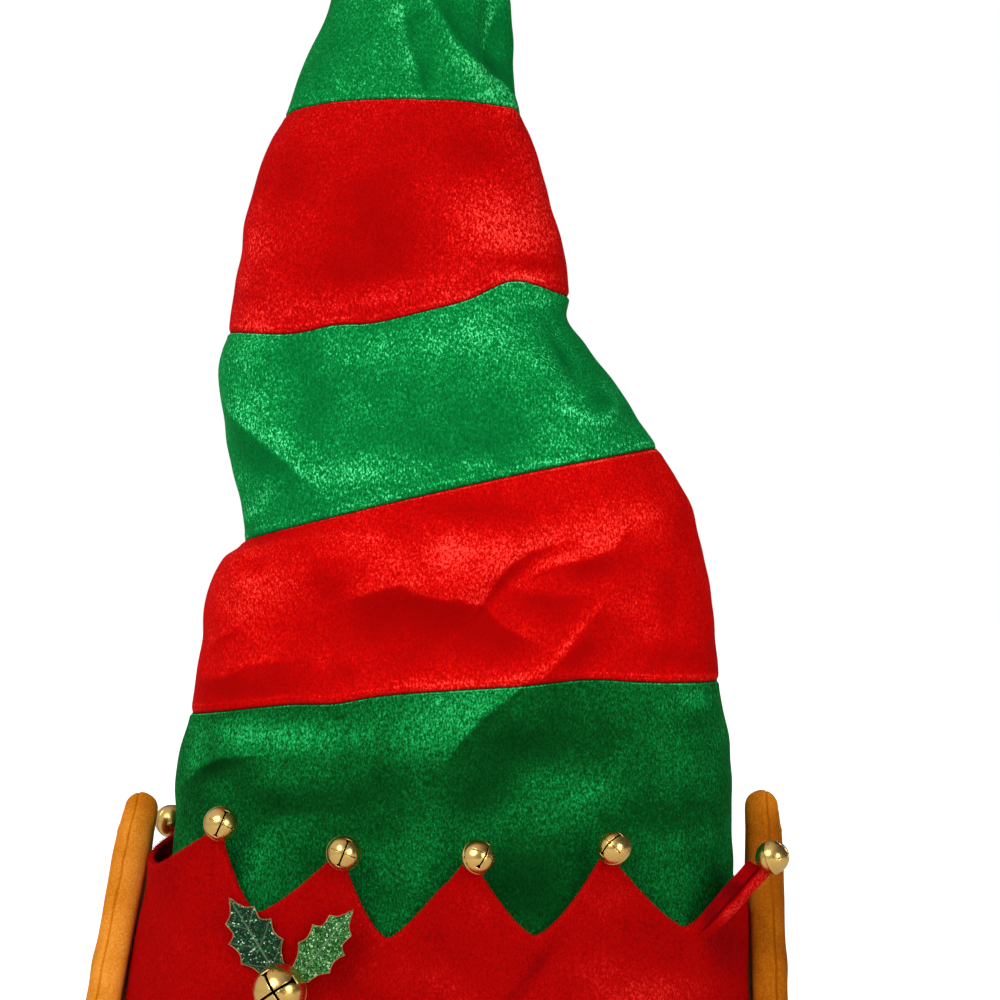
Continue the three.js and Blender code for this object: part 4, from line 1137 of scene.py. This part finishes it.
def make_leaf(name, turn, roll, finish):
    angle = math.radians(turn)
    roll = math.radians(roll)
    along_way, across_way = (-math.sin(angle), math.cos(angle)), (math.cos(angle), math.sin(angle))
    rows, half = 140 // FINE, 22
    along = np.linspace(0.0, 0.995, rows)[:, None]
    over = np.sin(np.linspace(-math.pi / 2, math.pi / 2, 2 * half + 1))[None, :]
    half_width = leaf_half_width(along)
    side = over * half_width
    reach = leaf_start + (along + 0.035 * side ** 2) * LEAF_LENGTH
    width_there = side * LEAF_WIDTH / 2 * math.cos(roll)
    x = sprig_side + along_way[0] * reach + across_way[0] * width_there
    z = sprig_up + along_way[1] * reach + across_way[1] * width_there
    curl = LEAF_CURL * np.abs(over) ** 3 * np.sin(along * 22 + np.sign(over)) * smooth(along, 0.1, 0.3)
    lift = (LEAF_LIFT * along ** 2 + LEAF_CUP * side ** 2 * along + curl + 0.5
            + (1 + side) * LEAF_WIDTH / 2 * math.sin(roll))
    vein = 0.6 * np.exp(-(side * LEAF_WIDTH / 2 / VEIN_WIDTH) ** 2)
    for row in LEAF_SPINES:
        spine_along, spine_side = LEAF_OUTLINE[row]
        for sign in (-1, 1):
            line = [0, (spine_along - 0.16) * LEAF_LENGTH,
                    sign * spine_side * LEAF_WIDTH / 2, (spine_along + 0.02) * LEAF_LENGTH]
            away = line_distance(side * LEAF_WIDTH / 2, along * LEAF_LENGTH, line)
            vein = np.maximum(vein, 0.5 * np.exp(-(away / SIDE_VEIN_WIDTH) ** 2))
    raised = 0.2 * vein
    y = cuff_front(x, z) - SPRIG_SEAT - lift
    front = np.stack([x, y - LEAF_THICKNESS * 0.5 - raised, z], -1)
    back = np.stack([x, y, z], -1)[:, ::-1]
    loops = np.concatenate([front, back], 1)
    from_edge = np.minimum((1 - np.abs(over)) * half_width * LEAF_WIDTH / 2, (1 - along) * LEAF_LENGTH)
    edge = 1 - smooth(from_edge, 0.25, 0.6)
    count = loops.shape[1]
    points = loops.reshape(-1, 3)
    faces = capped_faces(rows, count)
    tones = {"vein": np.concatenate([vein, vein[:, ::-1] * 0], 1),
             "edge": np.concatenate([edge, edge[:, ::-1]], 1)}
    return make_piece(name + "_satin", points, faces, [name], finish, tones)


def make_holly_bell():
    mesh = bell_mesh(HOLLY_BELL_RADIUS, HOLLY_BELL_WALL, HOLLY_BELL_SLITS, 80 // FINE)
    slope = (cuff_front(sprig_side + 1, sprig_up) - cuff_front(sprig_side - 1, sprig_up)) / 2
    direction = Vector((slope, -1, HOLLY_BELL_RISE)).normalized()
    seat = Vector((sprig_side, cuff_front(sprig_side, sprig_up), sprig_up))
    centre = seat + direction * (HOLLY_BELL_RADIUS + SPRIG_SEAT)
    placed_bell("holly_bell_brass", "holly_bell", mesh, centre, direction, HOLLY_BELL_ROLL)


# Ears: two felt faces sewn round the edge and stuffed

def closed_curve(points, count):
    """Even points along a smooth closed curve through the outline."""
    ring = np.vstack([points[-2:], points, points[:3]])
    share = np.linspace(2, len(points) + 2, count, endpoint=False) / (len(ring) - 1)
    return through(ring, share)


def make_ear(name, edge_shares, sign, shade):
    outline = (np.array(EAR_OUTLINE) - [EAR_FRONT, 0]) * [EAR_DEPTH, EAR_HEIGHT]
    spine = (np.array(EAR_SPINE) - [EAR_FRONT, 0]) * [EAR_DEPTH, EAR_HEIGHT]
    edge = closed_curve(outline, 200 // FINE)
    run = spine[1] - spine[0]
    share = np.clip(((edge - spine[0]) @ run) / (run @ run), 0, 1)[:, None]
    middle = spine[0] + share * run
    reach = np.linalg.norm(edge - middle, axis=1)[:, None]
    inward = (middle - edge) / reach
    around = np.arange(len(edge)) / len(edge) * 2 * math.pi
    seam_stand = EAR_SEAM * EAR_THICKNESS
    loops, tones = [], []

    def loop(stand, inset, tone):
        flat = edge + inward * np.minimum(inset, reach * 0.97)
        loops.append(np.stack([np.broadcast_to(stand, around.shape), flat[:, 0], flat[:, 1]], 1))
        tones.append(np.broadcast_to(tone, around.shape))

    tipness = smooth(edge[:, 1], 0.72 * EAR_HEIGHT, EAR_HEIGHT)[:, None]
    round_edge = EAR_EDGE + EAR_TIP_EDGE * tipness
    for share in np.linspace(1, 0, 9):
        loop(0.0, mix(round_edge, 60, share ** 1.5), 0)
    for angle in np.linspace(0, math.pi, 56 // FINE):
        stand = EAR_THICKNESS / 2 * (1 - math.cos(angle))
        inset = round_edge * (1 - math.sin(angle) ** 0.8)
        groove = math.exp(-((stand - seam_stand) / 0.4) ** 2)
        near = math.exp(-((stand - seam_stand) / 2.0) ** 2)
        pucker = 0.1 * near * (np.sin(around * 60) + 0.6 * np.sin(around * 41 + 1))
        loop(stand, inset + 0.45 * groove + pucker[:, None], 0.2 * near - 1.1 * groove)
    for share in np.linspace(0, 1, 9)[1:]:
        inset = mix(round_edge, 60, share ** 1.5)
        loop(EAR_THICKNESS + EAR_DOME * smooth(inset[:, 0], EAR_EDGE, 22), inset, 0.1)
    points = np.stack(loops)
    count = points.shape[1]
    points[..., 0] += 0.25 * waves(points, 16, 8, 31) * smooth(points[..., 0], 1, 5)
    # painted light on the tip, and painted shade by the shade argument below it
    lit_tip = smooth(points[..., 2], 0.86 * EAR_HEIGHT, EAR_HEIGHT)
    tone = np.stack(tones) + 0.25 * waves(points, 26, 8, 32) + shade * (1 - lit_tip)
    slope = (edge_shares[1] - edge_shares[0]) * rim_half_width / cuff_top
    tilt = math.atan(slope)
    x = sign * points[..., 0]
    z = points[..., 2]
    placed = np.stack([
        x * math.cos(tilt) + z * math.sin(tilt) + edge_shares[0] * rim_half_width + sign * EAR_SEAT
        + slope * EAR_CLEAR_OF_GROUND,
        points[..., 1],
        z * math.cos(tilt) - x * math.sin(tilt) + EAR_CLEAR_OF_GROUND], -1)
    faces = capped_faces(len(loops), count)
    if sign > 0:
        faces = [face[::-1] for face in faces]
    piece = make_piece(name + "_felt", placed, faces, [name], EAR_FELT, {"pile_and_shade": tone})
    return piece


# Floor, light and camera

LIT_MIDDLE = (0, 0, 0.27)  # metres, where the lights point


def white_paper():
    """White sweep paper that the studio lights wash out, so that only soft contact shadows show on it."""
    material, tree = new_finish("floor_paper_white")
    rays = add(tree, "LightPath")
    washed = add(tree, "Math", {"operation": "MULTIPLY"}, i0=rays.outputs["Is Camera Ray"], i1=0.85)
    shader = add(tree, "BsdfPrincipled", Base_Color=linear("#f4f4f2"), Roughness=0.9,
                 Emission_Color=linear("#ffffff"), Emission_Strength=washed.outputs[0])
    add(tree, "OutputMaterial", Surface=shader.outputs[0])
    return material


def make_floor():
    mesh = bpy.data.meshes.new("floor")
    mesh.from_pydata([(-6, -6, 0), (6, -6, 0), (6, 6, 0), (-6, 6, 0)], [], [[0, 1, 2, 3]])
    mesh.materials.append(white_paper())
    put("floor", mesh)


def make_light(name, place, size, power):
    data = bpy.data.lights.new(name, "AREA")
    data.shape = "DISK"
    data.size = size
    data.energy = power
    light = put(name, data)
    light.location = place
    light.rotation_euler = (Vector(LIT_MIDDLE) - Vector(place)).to_track_quat("-Z", "Y").to_euler()


def make_studio():
    world = bpy.data.worlds.new("white_studio")
    bpy.context.scene.world = world
    world.use_nodes = True
    tree = world.node_tree
    tree.nodes.clear()
    seen = add(tree, "LightPath").outputs["Is Camera Ray"]
    way = add(tree, "TexCoord").outputs["Generated"]
    to_left = add(tree, "VectorMath", {"operation": "DOT_PRODUCT"}, i0=way, i1=(-0.78, -0.2, 0.55))
    glow = add(tree, "MapRange", {"interpolation_type": "SMOOTHSTEP"}, Value=to_left.outputs["Value"],
               From_Min=-0.1, From_Max=0.9, To_Min=0.1, To_Max=0.75)
    soft = add(tree, "Background", Color=linear("#ffffff"), Strength=glow.outputs[0])
    white = add(tree, "Background", Color=linear("#ffffff"), Strength=1.0)
    both = add(tree, "MixShader", i0=seen, i1=soft.outputs[0], i2=white.outputs[0])
    add(tree, "OutputWorld", Surface=both.outputs[0])
    make_light("key_soft_box", (-0.8, -1.3, 1.2), 1.0, 16.5)
    make_light("fill_soft_box", (1.0, -1.2, 0.5), 0.8, 10.5)
    bpy.context.scene.view_settings.view_transform = "Standard"


PHOTO_SIDE = 416.67  # millimetres across the photograph at the middle of the hat
VIEW_DISTANCE = 1600
VIEW_MIDDLE = (30.25, 262.5)


def make_camera():
    data = bpy.data.cameras.new("camera")
    data.sensor_width = 36
    data.lens = data.sensor_width * VIEW_DISTANCE / PHOTO_SIDE
    camera = put("camera", data)
    camera.location = (VIEW_MIDDLE[0] * MM, -VIEW_DISTANCE * MM, VIEW_MIDDLE[1] * MM)
    camera.rotation_euler = (math.pi / 2, 0, 0)
    bpy.context.scene.camera = camera


make_floor()
make_cuff()
make_crown()
make_folded_strip()
make_edge_fibres()
make_small_bells()
make_leaf("holly_leaf_left", 32, 0, LEAF_DARK)
make_leaf("holly_leaf_right", -39, 33, LEAF_BRIGHT)
make_holly_bell()
# painted light on the left ear, painted shade on the right ear
make_ear("ear_left", CUFF_LEFT, -1, 0.75)
make_ear("ear_right", CUFF_RIGHT, 1, -0.85)
make_studio()
make_camera()
